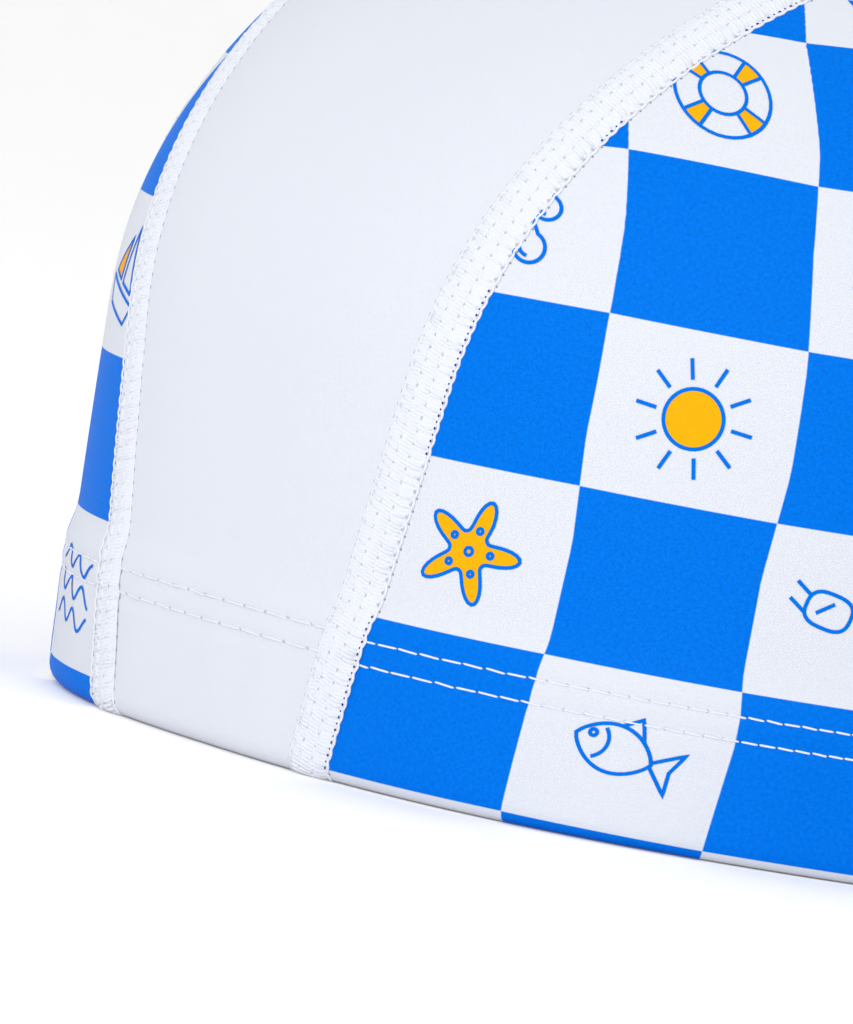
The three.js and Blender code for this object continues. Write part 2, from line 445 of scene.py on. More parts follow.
def cloth_offset(height, side, along, sewing):
    """How far a face of the cloth stands off the dome at a height, along metres round the hem."""
    z = np.asarray(height, float) / MM
    table = [row.height for row in HEM_TABLE]
    values = [getattr(row, side) for row in HEM_TABLE]
    near = [np.interp(np.clip(z + nudge, table[0], None), table, values) for nudge in HEM_NUDGES]
    off = np.where(z >= table[-1] + HEM_NUDGES[-1], values[-1], sum(near) / len(near))
    middle = (HEM_TABLE[0].out + HEM_TABLE[0].inn) / 2
    turned = np.clip((table[0] - z) / (table[0] - FOLD_BOTTOM), 0, 1)
    off = middle + (off - middle) * np.sqrt(np.clip(1 - turned**2, 0, 1))
    if side == "out":
        for row in (sewing.hem_row_low, sewing.hem_row_high):
            off = off - ROW_DIP * np.exp(-(((z - row / MM) / ROW_DIP_REACH) ** 2))
        wave = sum(np.sin(along / MM * pace + start) for pace, start in HEM_WAVES)
        off = off + HEM_WAVE * wave * np.exp(-(((z - HEM_WAVE_HEIGHT) / HEM_WAVE_REACH) ** 4))
    return off * MM


def fold_run(height):
    """Metres of cloth above the rim at a height on the outer face, and at the same height within."""
    foot, bottom = HEM_TABLE[0].height, FOLD_BOTTOM
    z = np.asarray(height, float) / MM
    radius = (foot - bottom + (HEM_TABLE[0].out - HEM_TABLE[0].inn) / 2) / 2
    under = np.clip((foot - z) / (foot - bottom), 0, 1)
    without = np.where(z < foot, foot - radius * np.arcsin(under), z)
    return without * MM, (2 * (foot - radius * pi / 2) - without) * MM


class PrintMap:
    """The flat print on a side panel: metres round from the side's middle, and up from the rim."""

    def __init__(self, dome, settings):
        self.dome = dome
        self.settings = settings
        s = dome.shape
        power = 2 / s.plan_power
        turn = np.linspace(-pi / 2, pi / 2, PRINT_COLUMNS)
        self.share = np.sign(np.sin(turn)) * np.abs(np.sin(turn)) ** power
        widest = self.place(self.share, s.widest_height)
        round_it = run(widest)
        self.round_it = round_it - np.interp(0, self.share, round_it)
        self.heights = np.linspace(0, s.crown_height * 0.9995, PRINT_ROWS)
        grid = self.place(self.share[:, None], self.heights[None, :])
        steps = np.linalg.norm(np.diff(grid, axis=1), axis=2)
        self.up = np.concatenate([np.zeros((len(turn), 1)), np.cumsum(steps, axis=1)], axis=1)

    def spread(self, height):
        """How wide the level slice at a height is, as a share of the widest."""
        return np.clip(1 - self.dome.closing(height), 1e-9, 1) ** (1 / self.dome.shape.profile_power)

    def place(self, share, height):
        """The dome's point on a column line, at a height."""
        s = self.dome.shape
        spread = self.spread(height)
        y = share * s.half_length * spread**self.settings.lean
        left = np.clip(spread**s.plan_power - np.abs(y / s.half_length) ** s.plan_power, 0, None)
        return stacked(self.dome.half_width(y) * left ** (1 / s.plan_power), y, height)

    def flat(self, p):
        """The flat print's place under points of the dome, in metres."""
        spread = self.spread(p[..., 2])
        share = np.clip(p[..., 1] / (self.dome.shape.half_length * spread**self.settings.lean), -1, 1)
        i = np.interp(share, self.share, np.arange(len(self.share)))
        j = np.interp(p[..., 2], self.heights, np.arange(len(self.heights)))
        return stacked(np.interp(share, self.share, self.round_it), between(self.up, i, j))

    def drift(self, nominal):
        """How far the sewn cloth has moved the print from its even layout."""
        share = np.clip((nominal[..., 0] - self.settings.first_column) / self.settings.check_width, 0, 1)
        up = nominal[..., 1] / MM
        heights = [row.up for row in PRINT_DRIFT]

        def column(name):
            return np.interp(up, heights, [getattr(row, name) for row in PRINT_DRIFT])

        back = inside(column("first"), column("second"), share)
        rise = inside(column("first_rise"), column("second_rise"), share)
        return stacked(back, rise) * MM

    def checks(self, flat, shift=0.0):
        """Flat places counted in checks from the first lines. shift is how far up the whole print sits."""
        s = self.settings
        laid = flat - (0, shift)
        nominal = laid
        for _ in range(4):
            nominal = laid - self.drift(nominal)
        column = nominal[..., 0] - s.first_column
        column = np.where(column < 0, column / s.seam_check_width, column / s.check_width)
        in_hem = (nominal[..., 1] - s.first_row) / (s.second_row - s.first_row)
        above = 1 + (nominal[..., 1] - s.second_row) / s.check_height
        return stacked(column, np.where(nominal[..., 1] < s.second_row, in_hem, above))

    def from_checks(self, column, row, shift=0.0):
        """Points of the dome at places counted in checks."""
        s = self.settings
        width = np.where(column < 0, s.seam_check_width, s.check_width)
        in_hem = s.first_row + row * (s.second_row - s.first_row)
        above = s.second_row + (row - 1) * s.check_height
        nominal = stacked(s.first_column + column * width, np.where(row < 1, in_hem, above))
        laid = nominal + self.drift(nominal) + (0, shift)
        share = np.interp(laid[:, 0], self.round_it, self.share)
        i = np.interp(share, self.share, np.arange(len(self.share)))
        heights = []
        for k, wanted in zip(i, laid[:, 1]):
            k0 = min(int(k), len(self.share) - 2)
            heights.append(np.interp(wanted, inside(self.up[k0], self.up[k0 + 1], k - k0), self.heights))
        return self.place(share, np.array(heights))


def mesh_object(name, points, faces, materials, slots=None, maps=None):
    """A smooth mesh object at the origin, with a UV map for each named array of places."""
    mesh = bpy.data.meshes.new(name)
    mesh.from_pydata(np.asarray(points).tolist(), [], [list(f) for f in faces])
    for material in materials:
        mesh.materials.append(material)
    if slots is not None:
        mesh.polygons.foreach_set("material_index", np.asarray(slots, dtype=np.int32))
    corners = np.zeros(len(mesh.loops), dtype=np.int32)
    mesh.loops.foreach_get("vertex_index", corners)
    for title, places in (maps or {}).items():
        layer = mesh.uv_layers.new(name=title)
        layer.data.foreach_set("uv", np.asarray(places, dtype=np.float32)[corners].ravel())
    mesh.polygons.foreach_set("use_smooth", [True] * len(mesh.polygons))
    mesh.validate()
    mesh.update()
    obj = bpy.data.objects.new(name, mesh)
    bpy.context.scene.collection.objects.link(obj)
    return obj


def wall_faces(rows, columns):
    """Faces of a closed wall between an outer and an inner grid, and which face the wearer's side."""
    number = np.arange(rows * columns).reshape(rows, columns)
    under = number + rows * columns

    def strip(a, b, c, d):
        return np.stack([a.ravel(), b.ravel(), c.ravel(), d.ravel()], axis=1)

    outer = strip(number[:-1, :-1], number[:-1, 1:], number[1:, 1:], number[1:, :-1])
    inner = strip(under[:-1, :-1], under[1:, :-1], under[1:, 1:], under[:-1, 1:])
    first = strip(number[:-1, 0], number[1:, 0], under[1:, 0], under[:-1, 0])
    last = strip(number[:-1, -1], under[:-1, -1], under[1:, -1], number[1:, -1])
    foot = strip(number[0, :-1], under[0, :-1], under[0, 1:], number[0, 1:])
    top = strip(number[-1, :-1], number[-1, 1:], under[-1, 1:], under[-1, :-1])
    faces = np.concatenate([outer, inner, first, last, foot, top])
    kind = np.zeros(len(faces), dtype=int)
    kind[len(outer) : len(outer) + len(inner)] = 1
    return faces, kind


def facing_out(points, faces):
    """The same faces, turned over if they enclose a negative volume."""
    points = np.asarray(points)
    a, b, c, d = (points[faces[:, i]] for i in range(4))
    volume = (a * np.cross(b, c)).sum() + (a * np.cross(c, d)).sum()
    return faces if volume > 0 else faces[:, ::-1]


class Nodes:
    """A material's node tree, written as calls."""

    def __init__(self, name):
        self.material = bpy.data.materials.new(name)
        self.material.use_nodes = True
        self.tree = self.material.node_tree
        self.tree.nodes.clear()
        self.out = self.tree.nodes.new("ShaderNodeOutputMaterial")

    def node(self, kind, inputs=None, **settings):
        made = self.tree.nodes.new(kind)
        for key, value in settings.items():
            setattr(made, key, value)
        for key, value in (inputs or {}).items():
            self.put(value, made.inputs[key])
        return made

    def put(self, value, socket):
        if isinstance(value, bpy.types.NodeSocket):
            self.tree.links.new(value, socket)
        else:
            socket.default_value = value

    def math(self, operation, *values):
        made = self.node("ShaderNodeMath", operation=operation)
        for i, value in enumerate(values):
            self.put(value, made.inputs[i])
        return made.outputs[0]

    def mix(self, share, a, b, blend="MIX"):
        made = self.node("ShaderNodeMix", data_type="RGBA", blend_type=blend)
        self.put(share, made.inputs[0])
        self.put(a, made.inputs[6])
        self.put(b, made.inputs[7])
        return made.outputs[2]

    def place(self, title):
        """The two numbers of a UV map."""
        uv = self.node("ShaderNodeUVMap", uv_map=title)
        parts = self.node("ShaderNodeSeparateXYZ", {0: uv.outputs[0]})
        return parts.outputs[0], parts.outputs[1], uv.outputs[0]

    def noise(self, vector, scale, detail=2.0, roughness=0.5):
        made = self.node("ShaderNodeTexNoise", {"Vector": vector, "Scale": scale, "Detail": detail})
        made.inputs["Roughness"].default_value = roughness
        return made.outputs["Fac"]

    def waves(self, place, pitch):
        """A sine wave over one number of a map."""
        return self.math("SINE", self.math("MULTIPLY", place, 2 * pi / pitch))

    def shaded(self, color, share):
        """A colour times a share of its brightness."""
        grey = self.node("ShaderNodeCombineColor", {0: share, 1: share, 2: share}).outputs[0]
        return self.mix(1.0, color, grey, "MULTIPLY")

    def bump(self, height, distance, strength, normal=None):
        made = self.node("ShaderNodeBump", {"Height": height, "Distance": distance, "Strength": strength})
        if normal is not None:
            self.put(normal, made.inputs["Normal"])
        return made.outputs[0]

    def surface(self, color, normal, roughness, specular, sheen=0.0, glow=0.0):
        made = self.node("ShaderNodeBsdfPrincipled", {"Base Color": color, "Roughness": roughness})
        made.inputs["Specular IOR Level"].default_value = specular
        made.inputs["Sheen Weight"].default_value = sheen
        made.inputs["Sheen Roughness"].default_value = 0.4
        made.inputs["Emission Color"].default_value = (1.0, 1.0, 1.0, 1.0)
        made.inputs["Emission Strength"].default_value = glow
        if normal is not None:
            self.put(normal, made.inputs["Normal"])
        self.tree.links.new(made.outputs[0], self.out.inputs[0])
        return self.material


def color4(color):
    return (*color, 1.0)


def knit(nodes, pitch=0.27):
    """The knit's grain: fine columns of loops, a little uneven. The cloth map is in millimetres."""
    u, v, vector = nodes.place("cloth")
    loops = nodes.math("MULTIPLY", nodes.waves(u, pitch), nodes.waves(v, pitch * 0.8))
    uneven = nodes.noise(vector, 2.3, 3.0)
    return loops, uneven, vector


def dimples(nodes, sewing):
    """Depth of the small pits where the needle went through the hem, 0 to 1."""
    count, height, _ = nodes.place("hem")
    share = nodes.math("SUBTRACT", nodes.math("FRACT", count), 0.5)
    depth = None
    for row in (sewing.hem_row_low, sewing.hem_row_high):
        along = nodes.math("POWER", nodes.math("DIVIDE", share, PIT_LENGTH), 2.0)
        off = nodes.math("SUBTRACT", height, row / MM)
        up = nodes.math("POWER", nodes.math("DIVIDE", off, PIT_HEIGHT), 2.0)
        fall = nodes.math("EXPONENT", nodes.math("MULTIPLY", nodes.math("ADD", along, up), -1.0))
        depth = fall if depth is None else nodes.math("ADD", depth, fall)
    return depth


def cloth_finish(nodes, color, sewing, inked=0.0):
    """The coated knit's face: fine grain, stronger where it is inked, and pits along the hem's stitches with
    painted shade in them.
    """
    loops, uneven, vector = knit(nodes)
    fleck = nodes.noise(vector, 2.6, 2.0, 0.7)
    mottle = nodes.math("MULTIPLY", nodes.math("SUBTRACT", fleck, 0.5), INK_MOTTLE)
    mottle = nodes.math("MULTIPLY", mottle, inked)
    grain = nodes.math("MULTIPLY_ADD", loops, 0.012, nodes.math("MULTIPLY_ADD", uneven, 0.03, 0.975))
    color = nodes.shaded(color, nodes.math("ADD", grain, mottle))
    pit_depth_and_shade = dimples(nodes, sewing)
    # Painted shade: the colour darkens towards a dark blue-grey in the hem's needle pits.
    color = nodes.mix(nodes.math("MULTIPLY", pit_depth_and_shade, 0.36), color, (0.08, 0.10, 0.18, 1.0))
    relief = nodes.math("ADD", nodes.math("MULTIPLY", loops, 0.5), uneven)
    normal = nodes.bump(relief, 0.00003, 0.3)
    normal = nodes.bump(nodes.math("MULTIPLY", pit_depth_and_shade, -1.0), 0.00012, 0.8, normal)
    return nodes.surface(color, normal, 0.5, specular=0.02)


def white_cloth(settings):
    nodes = Nodes("white_cloth")
    return cloth_finish(nodes, color4(settings.print.white), settings.sewing)


def check_share(nodes, odd):
    """1 on the blue checks and 0 on the white ones."""
    column, row, _ = nodes.place("print")
    steps = []
    for place in (column, row):
        wave = nodes.math("SINE", nodes.math("MULTIPLY", place, pi))
        sharp = nodes.math("MULTIPLY_ADD", wave, CHECK_EDGE, 0.5)
        steps.append(nodes.node("ShaderNodeClamp", {"Value": sharp}).outputs[0])
    differ = nodes.math("ABSOLUTE", nodes.math("SUBTRACT", steps[0], steps[1]))
    return nodes.math("SUBTRACT", 1.0, differ) if odd else differ


def checked_cloth(settings, odd):
    """Blue and white checks, on the wearer's left or, one check along, on the right."""
    nodes = Nodes("checked_cloth_right" if odd else "checked_cloth_left")
    blue = check_share(nodes, odd)
    color = nodes.mix(blue, color4(settings.print.white), color4(settings.print.blue))
    return cloth_finish(nodes, color, settings.sewing, blue)


def cloth_back(settings, odd=None):
    """The wrong side of the cloth: plain white knit, with the print faintly through it."""
    nodes = Nodes("cloth_back" if odd is None else "cloth_back_right" if odd else "cloth_back_left")
    white = (0.78, 0.80, 0.84, 1.0)
    color = white
    if odd is not None:
        tint = nodes.math("MULTIPLY", check_share(nodes, odd), 0.22)
        color = nodes.mix(tint, white, color4(settings.print.blue))
    loops, uneven, _ = knit(nodes, 0.42)
    relief = nodes.math("ADD", loops, uneven)
    return nodes.surface(color, nodes.bump(relief, 0.00008, 0.6), 0.8, sheen=0.15, specular=0.25)


def ink(name, color, settings):
    """Printed ink on the white cloth, with the knit's grain in it."""
    nodes = Nodes(name)
    loops, uneven, _ = knit(nodes)
    grain = nodes.math("MULTIPLY_ADD", loops, 0.03, nodes.math("MULTIPLY_ADD", uneven, 0.12, 0.92))
    color = nodes.shaded(color4(color), grain)
    return nodes.surface(color, nodes.bump(uneven, 0.00003, 0.3), 0.5, specular=0.02)


def thread_finish(settings):
    """Spun sewing thread: matt, with a fine uneven ply."""
    nodes = Nodes("sewing_thread")
    place = nodes.node("ShaderNodeTexCoord").outputs["Object"]
    ply = nodes.noise(place, 9000.0, 2.0)
    soft = nodes.noise(place, 400.0, 1.0)
    grain = nodes.math("MULTIPLY_ADD", ply, 0.08, nodes.math("MULTIPLY_ADD", soft, 0.05, 0.93))
    color = nodes.shaded(color4(settings.sewing.thread), grain)
    return nodes.surface(color, nodes.bump(ply, 0.00002, 0.4), 0.8, specular=0.05)


def thread_bed(settings):
    """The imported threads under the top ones, ribbed across the seam."""
    nodes = Nodes("thread_bed")
    ribs = nodes.waves(nodes.place("cloth")[1], settings.sewing.cover_pitch / MM)
    color = nodes.shaded(color4(settings.sewing.thread), nodes.math("MULTIPLY_ADD", ribs, 0.02, 0.96))
    return nodes.surface(color, nodes.bump(ribs, 0.00004, 0.4), 0.85, specular=0.05)


def needle_hole(name, color):
    """Painted shade for a dot in or beside a needle hole: dark where the cloth round it is dark."""
    nodes = Nodes(name)
    place = nodes.node("ShaderNodeTexCoord").outputs["Object"]
    shade = tuple(0.8 * channel for channel in color)
    color = nodes.mix(nodes.noise(place, 5000.0, 1.0), color4(shade), color4(color))
    return nodes.surface(color, None, 0.9, specular=0.05)


def seam_side(points, dome):
    """How far points lie outside the seam's middle line, in metres of x."""
    return points[..., 0] - dome.beside_seam(lean_of(points), 0.0)


def side_grid(dome, heights, columns, patch_rows, seam_steps):
    """A side panel's points on the dome: level rows in the hem, then rows that bend up to the seam."""
    edge = dome.crown_lines(dome.shape.panel_edge, heights, seam_steps)[0]
    hem = len(heights)
    front, back = edge[:hem], edge[::-1][:hem]
    share = np.linspace(0, 1, columns + 1)[None, :]
    turn = inside(turn_of(front)[:, None], turn_of(back)[:, None], share)
    rows = dome.at_turn(turn, heights[:, None])
    arch = edge[hem - 1 : len(edge) - hem + 1]
    left = arch[: patch_rows + 1]
    right = arch[::-1][: patch_rows + 1]
    over = arch[patch_rows : len(arch) - patch_rows]
    length = run(over)
    wanted = np.linspace(0, length[-1], columns + 1)
    top = sampled(over, length, wanted)
    u = share[0][None, :, None]
    v = np.linspace(0, 1, patch_rows + 1)[:, None, None]
    base = rows[-1]
    mix = inside(base[None], top[None], v) + inside(left[:, None], right[:, None], u)
    mix = mix - inside(inside(base[0], base[-1], u), inside(top[0], top[-1], u), v)
    patch = dome.meet(np.zeros(3), mix)
    patch[:, 0], patch[:, -1] = left, right
    return np.concatenate([rows, patch[1:]])


def cloth_wall(name, dome, grid, offsets, materials, back_rows, maps):
    """A panel's cloth between its outer and inner face. back_rows says where its wrong side shows."""
    out, inn = offsets
    normal = dome.outward(grid)
    outer = grid + normal * out[..., None]
    inner = grid + normal * inn[..., None]
    points = np.concatenate([outer.reshape(-1, 3), inner.reshape(-1, 3)])
    faces, kind = wall_faces(*grid.shape[:2])
    row = (faces[:, 0] % (grid.shape[0] * grid.shape[1])) // grid.shape[1]
    column = (faces[:, 0] % (grid.shape[0] * grid.shape[1])) % grid.shape[1]
    slots = np.where((kind == 1) & back_rows[row, column], 1, 0)
    flat = {key: np.concatenate([a.reshape(-1, 2), b.reshape(-1, 2)]) for key, (a, b) in maps.items()}
    return mesh_object(name, points, facing_out(points, faces), materials, slots, flat)


def mirrored(obj, name, materials):
    """The same piece on the other side of the middle plane, with its own materials."""
    mesh = obj.data.copy()
    mesh.name = name
    mesh.transform(Matrix.Scale(-1, 4, Vector((1, 0, 0))))
    mesh.flip_normals()
    for i, material in enumerate(materials):
        mesh.materials[i] = material
    copy = bpy.data.objects.new(name, mesh)
    bpy.context.scene.collection.objects.link(copy)
    return copy


def opened(context):
    """The cap's settings and its dome."""
    cap = context.scene.swim_cap
    return cap, Dome(cap.shape)


def finished(obj, node=None):
    """A finished piece rides on the cap. Given a node, it stands for that node's plain solid."""
    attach(obj, "root")
    if node:
        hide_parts(node)


def finished_panel(obj, node):
    """The finished panel stands for its plain solid."""
    finished(obj, node)


def hem_line_side(dome, height):
    """A level line round a side panel's hem, between the edges of its seams."""
    front = dome.beside_seam_at(height, -1, SEAM_CLEAR * MM)
    back = dome.beside_seam_at(height, 1, SEAM_CLEAR * MM)
    return dome.at_turn(np.linspace(turn_of(front), turn_of(back), SIDE_LINE_STEPS), height)


def hem_line_centre(dome, height, end):
    """A level line across the centre panel's hem, at the forehead's end (-1) or the nape's (1)."""
    edge = dome.beside_seam_at(height, end, -SEAM_CLEAR * MM)[0]
    across = np.linspace(-edge, edge, CENTRE_LINE_STEPS)
    return dome.at_height(across, height, end)


def stitch_counts(line, table):
    """The count of stitches up to each point of a hem line, with the stitch lengths of a table."""
    length = run(line) / MM
    pace = 1 / np.interp(length, [row.along for row in table], [row.length for row in table])
    count = np.concatenate([[0], np.cumsum((pace[1:] + pace[:-1]) / 2 * np.diff(length))])
    return count * round(count[-1]) / count[-1]


def hem_middle(cap):
    """Height midway between the two rows of hem stitches."""
    return (cap.sewing.hem_row_low + cap.sewing.hem_row_high) / 2


class SWIMCAP_OT_centre_panel(Operator):
    """Make the plain centre panel, from the forehead's hem over the crown to the nape's"""

    bl_idname = "swimcap.centre_panel"
    bl_label = "Centre panel"

    def execute(self, context):
        cap, dome = opened(context)
        heights = hem_heights()
        shares = np.linspace(-1, 1, CENTRE_COLUMNS + 1)
        lines = dome.crown_lines(-cap.shape.panel_edge, heights, CROWN_STEPS, shares)
        grid = np.swapaxes(lines, 0, 1)
        height, across = grid[..., 2], grid[..., 0]
        ends = np.zeros(grid.shape[:2], dtype=bool)
        ends[: len(heights)] = True
        ends[-len(heights) :] = True
        out = np.where(ends, cloth_offset(height, "out", across, cap.sewing), 0.0)
        inn = np.where(ends, cloth_offset(height, "inn", across, cap.sewing), -cap.shape.cloth)
        cloth = stacked(across, run(grid[:, CENTRE_COLUMNS // 2])[:, None]) / MM
        middle = hem_line_centre(dome, hem_middle(cap), -1)
        count = np.interp(across, middle[:, 0], stitch_counts(middle, CENTRE_STITCHES))
        hem = stacked(count, np.where(ends, (height - cap.sewing.front_row_rise) / MM, ABOVE_HEM))
        obj = cloth_wall(
            "centre_panel_cloth", dome, grid, (out, inn),
            [white_cloth(cap), cloth_back(cap)], ~ends,
            {"cloth": (cloth, cloth), "hem": (hem, hem)},
        )
        finished_panel(obj, "centre_panel")
        return {"FINISHED"}


class SWIMCAP_OT_side_panels(Operator):
    """Make the two checked side panels"""

    bl_idname = "swimcap.side_panels"
    bl_label = "Side panels"

    def execute(self, context):
        cap, dome = opened(context)
        printed = PrintMap(dome, cap.print)
        heights = hem_heights()
        grid = side_grid(dome, heights, SIDE_COLUMNS, SIDE_ROWS, CROWN_STEPS)
        flat = printed.flat(grid)
        height = grid[..., 2]
        hem_rows = np.zeros(grid.shape[:2], dtype=bool)
        hem_rows[: len(heights)] = True
        out = np.where(hem_rows, cloth_offset(height, "out", flat[..., 0], cap.sewing), 0.0)
        inn = np.where(hem_rows, cloth_offset(height, "inn", flat[..., 0], cap.sewing), -cap.shape.cloth)
        without, within = fold_run(height)
        inner_flat = flat.copy()
        inner_flat[..., 1] = np.where(hem_rows, within, flat[..., 1])
        flat[..., 1] += np.where(hem_rows, without - height, 0.0)
        middle = hem_line_side(dome, hem_middle(cap))
        count = np.interp(turn_of(grid), turn_of(middle), stitch_counts(middle, SIDE_STITCHES))
        hem = stacked(count, np.where(hem_rows, height / MM, ABOVE_HEM))
        for side, odd, way in SIDES:
            shift = cap.print.right_shift if odd else 0.0
            maps = {
                "cloth": (flat / MM, inner_flat / MM),
                "print": (printed.checks(flat, shift), printed.checks(inner_flat, shift)),
                "hem": (hem, hem),
            }
            obj = cloth_wall(
                side + "_side_cloth", dome, grid * (way, 1, 1), (out, inn),
                [checked_cloth(cap, odd), cloth_back(cap, odd)], ~hem_rows, maps,
            )
            finished_panel(obj, side + "_side_panel")
        return {"FINISHED"}


def band_rise(across):
    """Height of the thread bed over the cloth, across millimetres from the seam's middle."""
    return np.interp(np.abs(across), [s.across for s in BAND_TABLE], [s.rise for s in BAND_TABLE])


def seam_sheet(cap, dome, beside, within):
    """The cloth's face under a seam: rows from rim to rim, a column for each distance beside its middle.
    Its places, the directions that it faces, and the dome's places under it.

    The outer face starts and ends a little way up inside the rim, and the inner one ends where that starts.
    """
    lines = np.stack([dome.crown_lines(b, hem_heights(), SEAM_STEPS)[0] for b in beside], axis=1)
    normal = dome.outward(lines)
    height = lines[:, len(beside) // 2, 2]
    in_hem = (height <= dome.hem_height + 1e-6)[:, None, None]

    def face(side):
        off = cloth_offset(height, side, 0 * height, cap.sewing)[:, None, None]
        return lines + normal * np.where(in_hem, off, 0.0 if side == "out" else -cap.shape.cloth)

    if within:
        above = height >= TURNED_IN * MM
        sheet, dome_lines = face("inn")[above], lines[above]
    else:
        low = np.nonzero(height[: len(height) // 2] < TURNED_IN * MM)[0]
        inner = face("inn")
        sheet = np.concatenate([inner[low][::-1], face("out"), inner[::-1][low]])
        dome_lines = np.concatenate([lines[low][::-1], lines, lines[::-1][low]])
    across = np.gradient(sheet, axis=1)
    facing = unit(np.cross(across, np.gradient(sheet, axis=0)))
    return sheet, -facing if within else facing, dome_lines


class SeamCloth:
    """The cloth's face under a seam, in millimetres along the seam, across it and off the cloth."""

    def __init__(self, cap, dome, within=False):
        self.across = np.linspace(-SEAM_REACH, SEAM_REACH, SEAM_COLUMNS)
        self.sheet, self.facing, self.dome_lines = seam_sheet(cap, dome, self.across * MM, within)
        self.along = run(self.sheet[:, SEAM_COLUMNS // 2]) / MM
        self.length = self.along[-1]
        self.pitch = self.length / round(self.length * MM / cap.sewing.seam_pitch)

    def on(self, values, along, across):
        """The sheet's values between its rows and columns."""
        i = np.interp(along, self.along, np.arange(len(self.along)))
        j = np.interp(across, self.across, np.arange(len(self.across)))
        return between(values, i, j)

    def place(self, along, across, rise):
        """Points off the cloth."""
        along, across, rise = np.broadcast_arrays(np.asarray(along, float), across, rise)
        return self.on(self.sheet, along, across) + self.out(along, across) * rise[..., None] * MM

    def out(self, along, across):
        """The direction that the threads stand out in."""
        along, across = np.broadcast_arrays(np.asarray(along, float), across)
        return unit(self.on(self.facing, along, across))

    def stitches(self, share=0.5):
        """Where the stitches lie along the seam, a share of a stitch from its start."""
        along = (np.arange(round(self.length / self.pitch)) + share) * self.pitch
        return along[(along > 0.4) & (along < self.length - 0.4)]


class SWIMCAP_OT_seam_bands(Operator):
    """Make the beds of packed thread over and under the two seams"""

    bl_idname = "swimcap.seam_bands"
    bl_label = "Seam bands"

    def execute(self, context):
        cap, dome = opened(context)
        half = [step.across for step in BAND_TABLE[1:]]
        steps = np.array([-a for a in half[::-1]] + [-0.6, 0.0, 0.6] + half)
        points, faces, places = [], [], []
        for within in (False, True):
            cloth = SeamCloth(cap, dome, within)
            along = cloth.along[:, None]
            top = cloth.place(along, steps, band_rise(steps))
            shell = np.concatenate([top.reshape(-1, 3), cloth.place(along, steps, -0.02).reshape(-1, 3)])
            made, _ = wall_faces(*top.shape[:2])
            faces.append(facing_out(shell, made) + sum(len(p) for p in points))
            points.append(shell)
            points[-1][:, 2] = np.maximum(points[-1][:, 2], 0.0)
            flat = stacked(steps[None, :], along)
            places.append(np.concatenate([flat.reshape(-1, 2)] * 2))
        bed = thread_bed(cap)
        left = mesh_object(
            "left_seam_band", np.concatenate(points), np.concatenate(faces), [bed], None,
            {"cloth": np.concatenate(places)},
        )
        finished(left, "left_seam")
        finished(mirrored(left, "right_seam_band", [bed]), "right_seam")
        return {"FINISHED"}


def tube(path, up, thick, sides):
    """A closed tube round a path: its points, and its faces. up is where its rings' second axis leans."""
    ahead = unit(np.gradient(path, axis=0))
    side = unit(np.cross(ahead, up))
    up = np.cross(side, ahead)
    turn = 2 * pi * np.arange(sides) / sides
    rings = side[:, None] * np.cos(turn)[None, :, None] + up[:, None] * np.sin(turn)[None, :, None]
    points = (path[:, None] + rings * np.broadcast_to(thick, len(path))[:, None, None]).reshape(-1, 3)
    number = np.arange(len(points)).reshape(-1, sides)
    after = np.roll(number, -1, axis=1)
    quads = np.stack([number[:-1], after[:-1], after[1:], number[1:]], axis=-1).reshape(-1, 4)
    return points, quads.tolist() + [number[0].tolist()[::-1], number[-1].tolist()]


def thread_piece(name, path, radius, material, sides=5, end=0.55):
    """A short closed length of thread through points, a little thinner at its ends."""
    thick = np.full(len(path), radius)
    thick[[0, -1]] *= end
    points, faces = tube(np.asarray(path, float), (0.0, 0.0, 1.0), thick, sides)
    obj = mesh_object(name, points * MM, faces, [material])
    recalculated(obj)
    return obj


def recalculated(obj):
    """Turn a closed mesh's faces outwards."""
    mesh = obj.data
    volume = 0.0
    for face in mesh.polygons:
        corners = [mesh.vertices[i].co for i in face.vertices]
        for k in range(1, len(corners) - 1):
            volume += corners[0].dot(corners[k].cross(corners[k + 1]))
    if volume < 0:
        mesh.flip_normals()


def cover_thread(material):
    """One thread that crosses the seam, half sunk in its bed."""
    reach, lean, sunk = 2.3, 0.16, 0.112
    across = np.linspace(-reach, reach, 7)
    rise = band_rise(across) - band_rise(0.0) - sunk
    path = stacked(lean * across / reach, across, rise)
    return thread_piece("cover_thread", path, COVER_RADIUS, material)


def needle_bar(material, across, pitch):
    """One needle stitch along the seam, over the crossing threads."""
    share, lean, sunk, dip = 0.46, 0.08, 0.06, 0.10
    along = np.linspace(-share, share, 7) * pitch
    rise = band_rise(across) - band_rise(0.0) - sunk - dip * (2 * along / pitch) ** 4
    path = stacked(along, across + lean * along, rise)
    return thread_piece("needle_bar", path, BAR_RADIUS, material)


def edge_thread(cloth, middle, swing, radius, material, steps=8, sides=6):
    """The thread that waves along the seam's edge: out round each needle hole and back between them."""
    count = round(cloth.length / cloth.pitch) * steps
    along = np.linspace(0, cloth.length, count + 1)
    wave = -np.cos(2 * pi * along / cloth.pitch)
    across = middle + np.sign(middle) * swing * (wave - 0.25 * wave**2)
    path = cloth.place(along, across, 0.3 * radius + 0.02 * wave)
    points, faces = tube(path, cloth.out(along, across), radius * MM, sides)
    obj = mesh_object("edge_thread", points, faces, [material])
    recalculated(obj)
    return obj


def marks(cloth, along, across, size, long, rise):
    """Small closed marks over the cloth, long times as long as wide: points, and one mark's faces."""
    sides, crown, root = 8, 0.015, 0.06
    turn = 2 * pi * np.arange(sides) / sides
    place = np.asarray(along, float)[:, None]
    size = np.broadcast_to(size, len(along))[:, None]
    ring = cloth.place(place + size * long * np.cos(turn), across + size * np.sin(turn), rise)
    top = cloth.place(place, across, rise + crown)
    under = cloth.place(place, across, rise - root)
    points = np.concatenate([ring, top, under], axis=1)
    faces = [[k, (k + 1) % sides, sides] for k in range(sides)]
    faces += [[(k + 1) % sides, k, sides + 1] for k in range(sides)]
    return points, faces


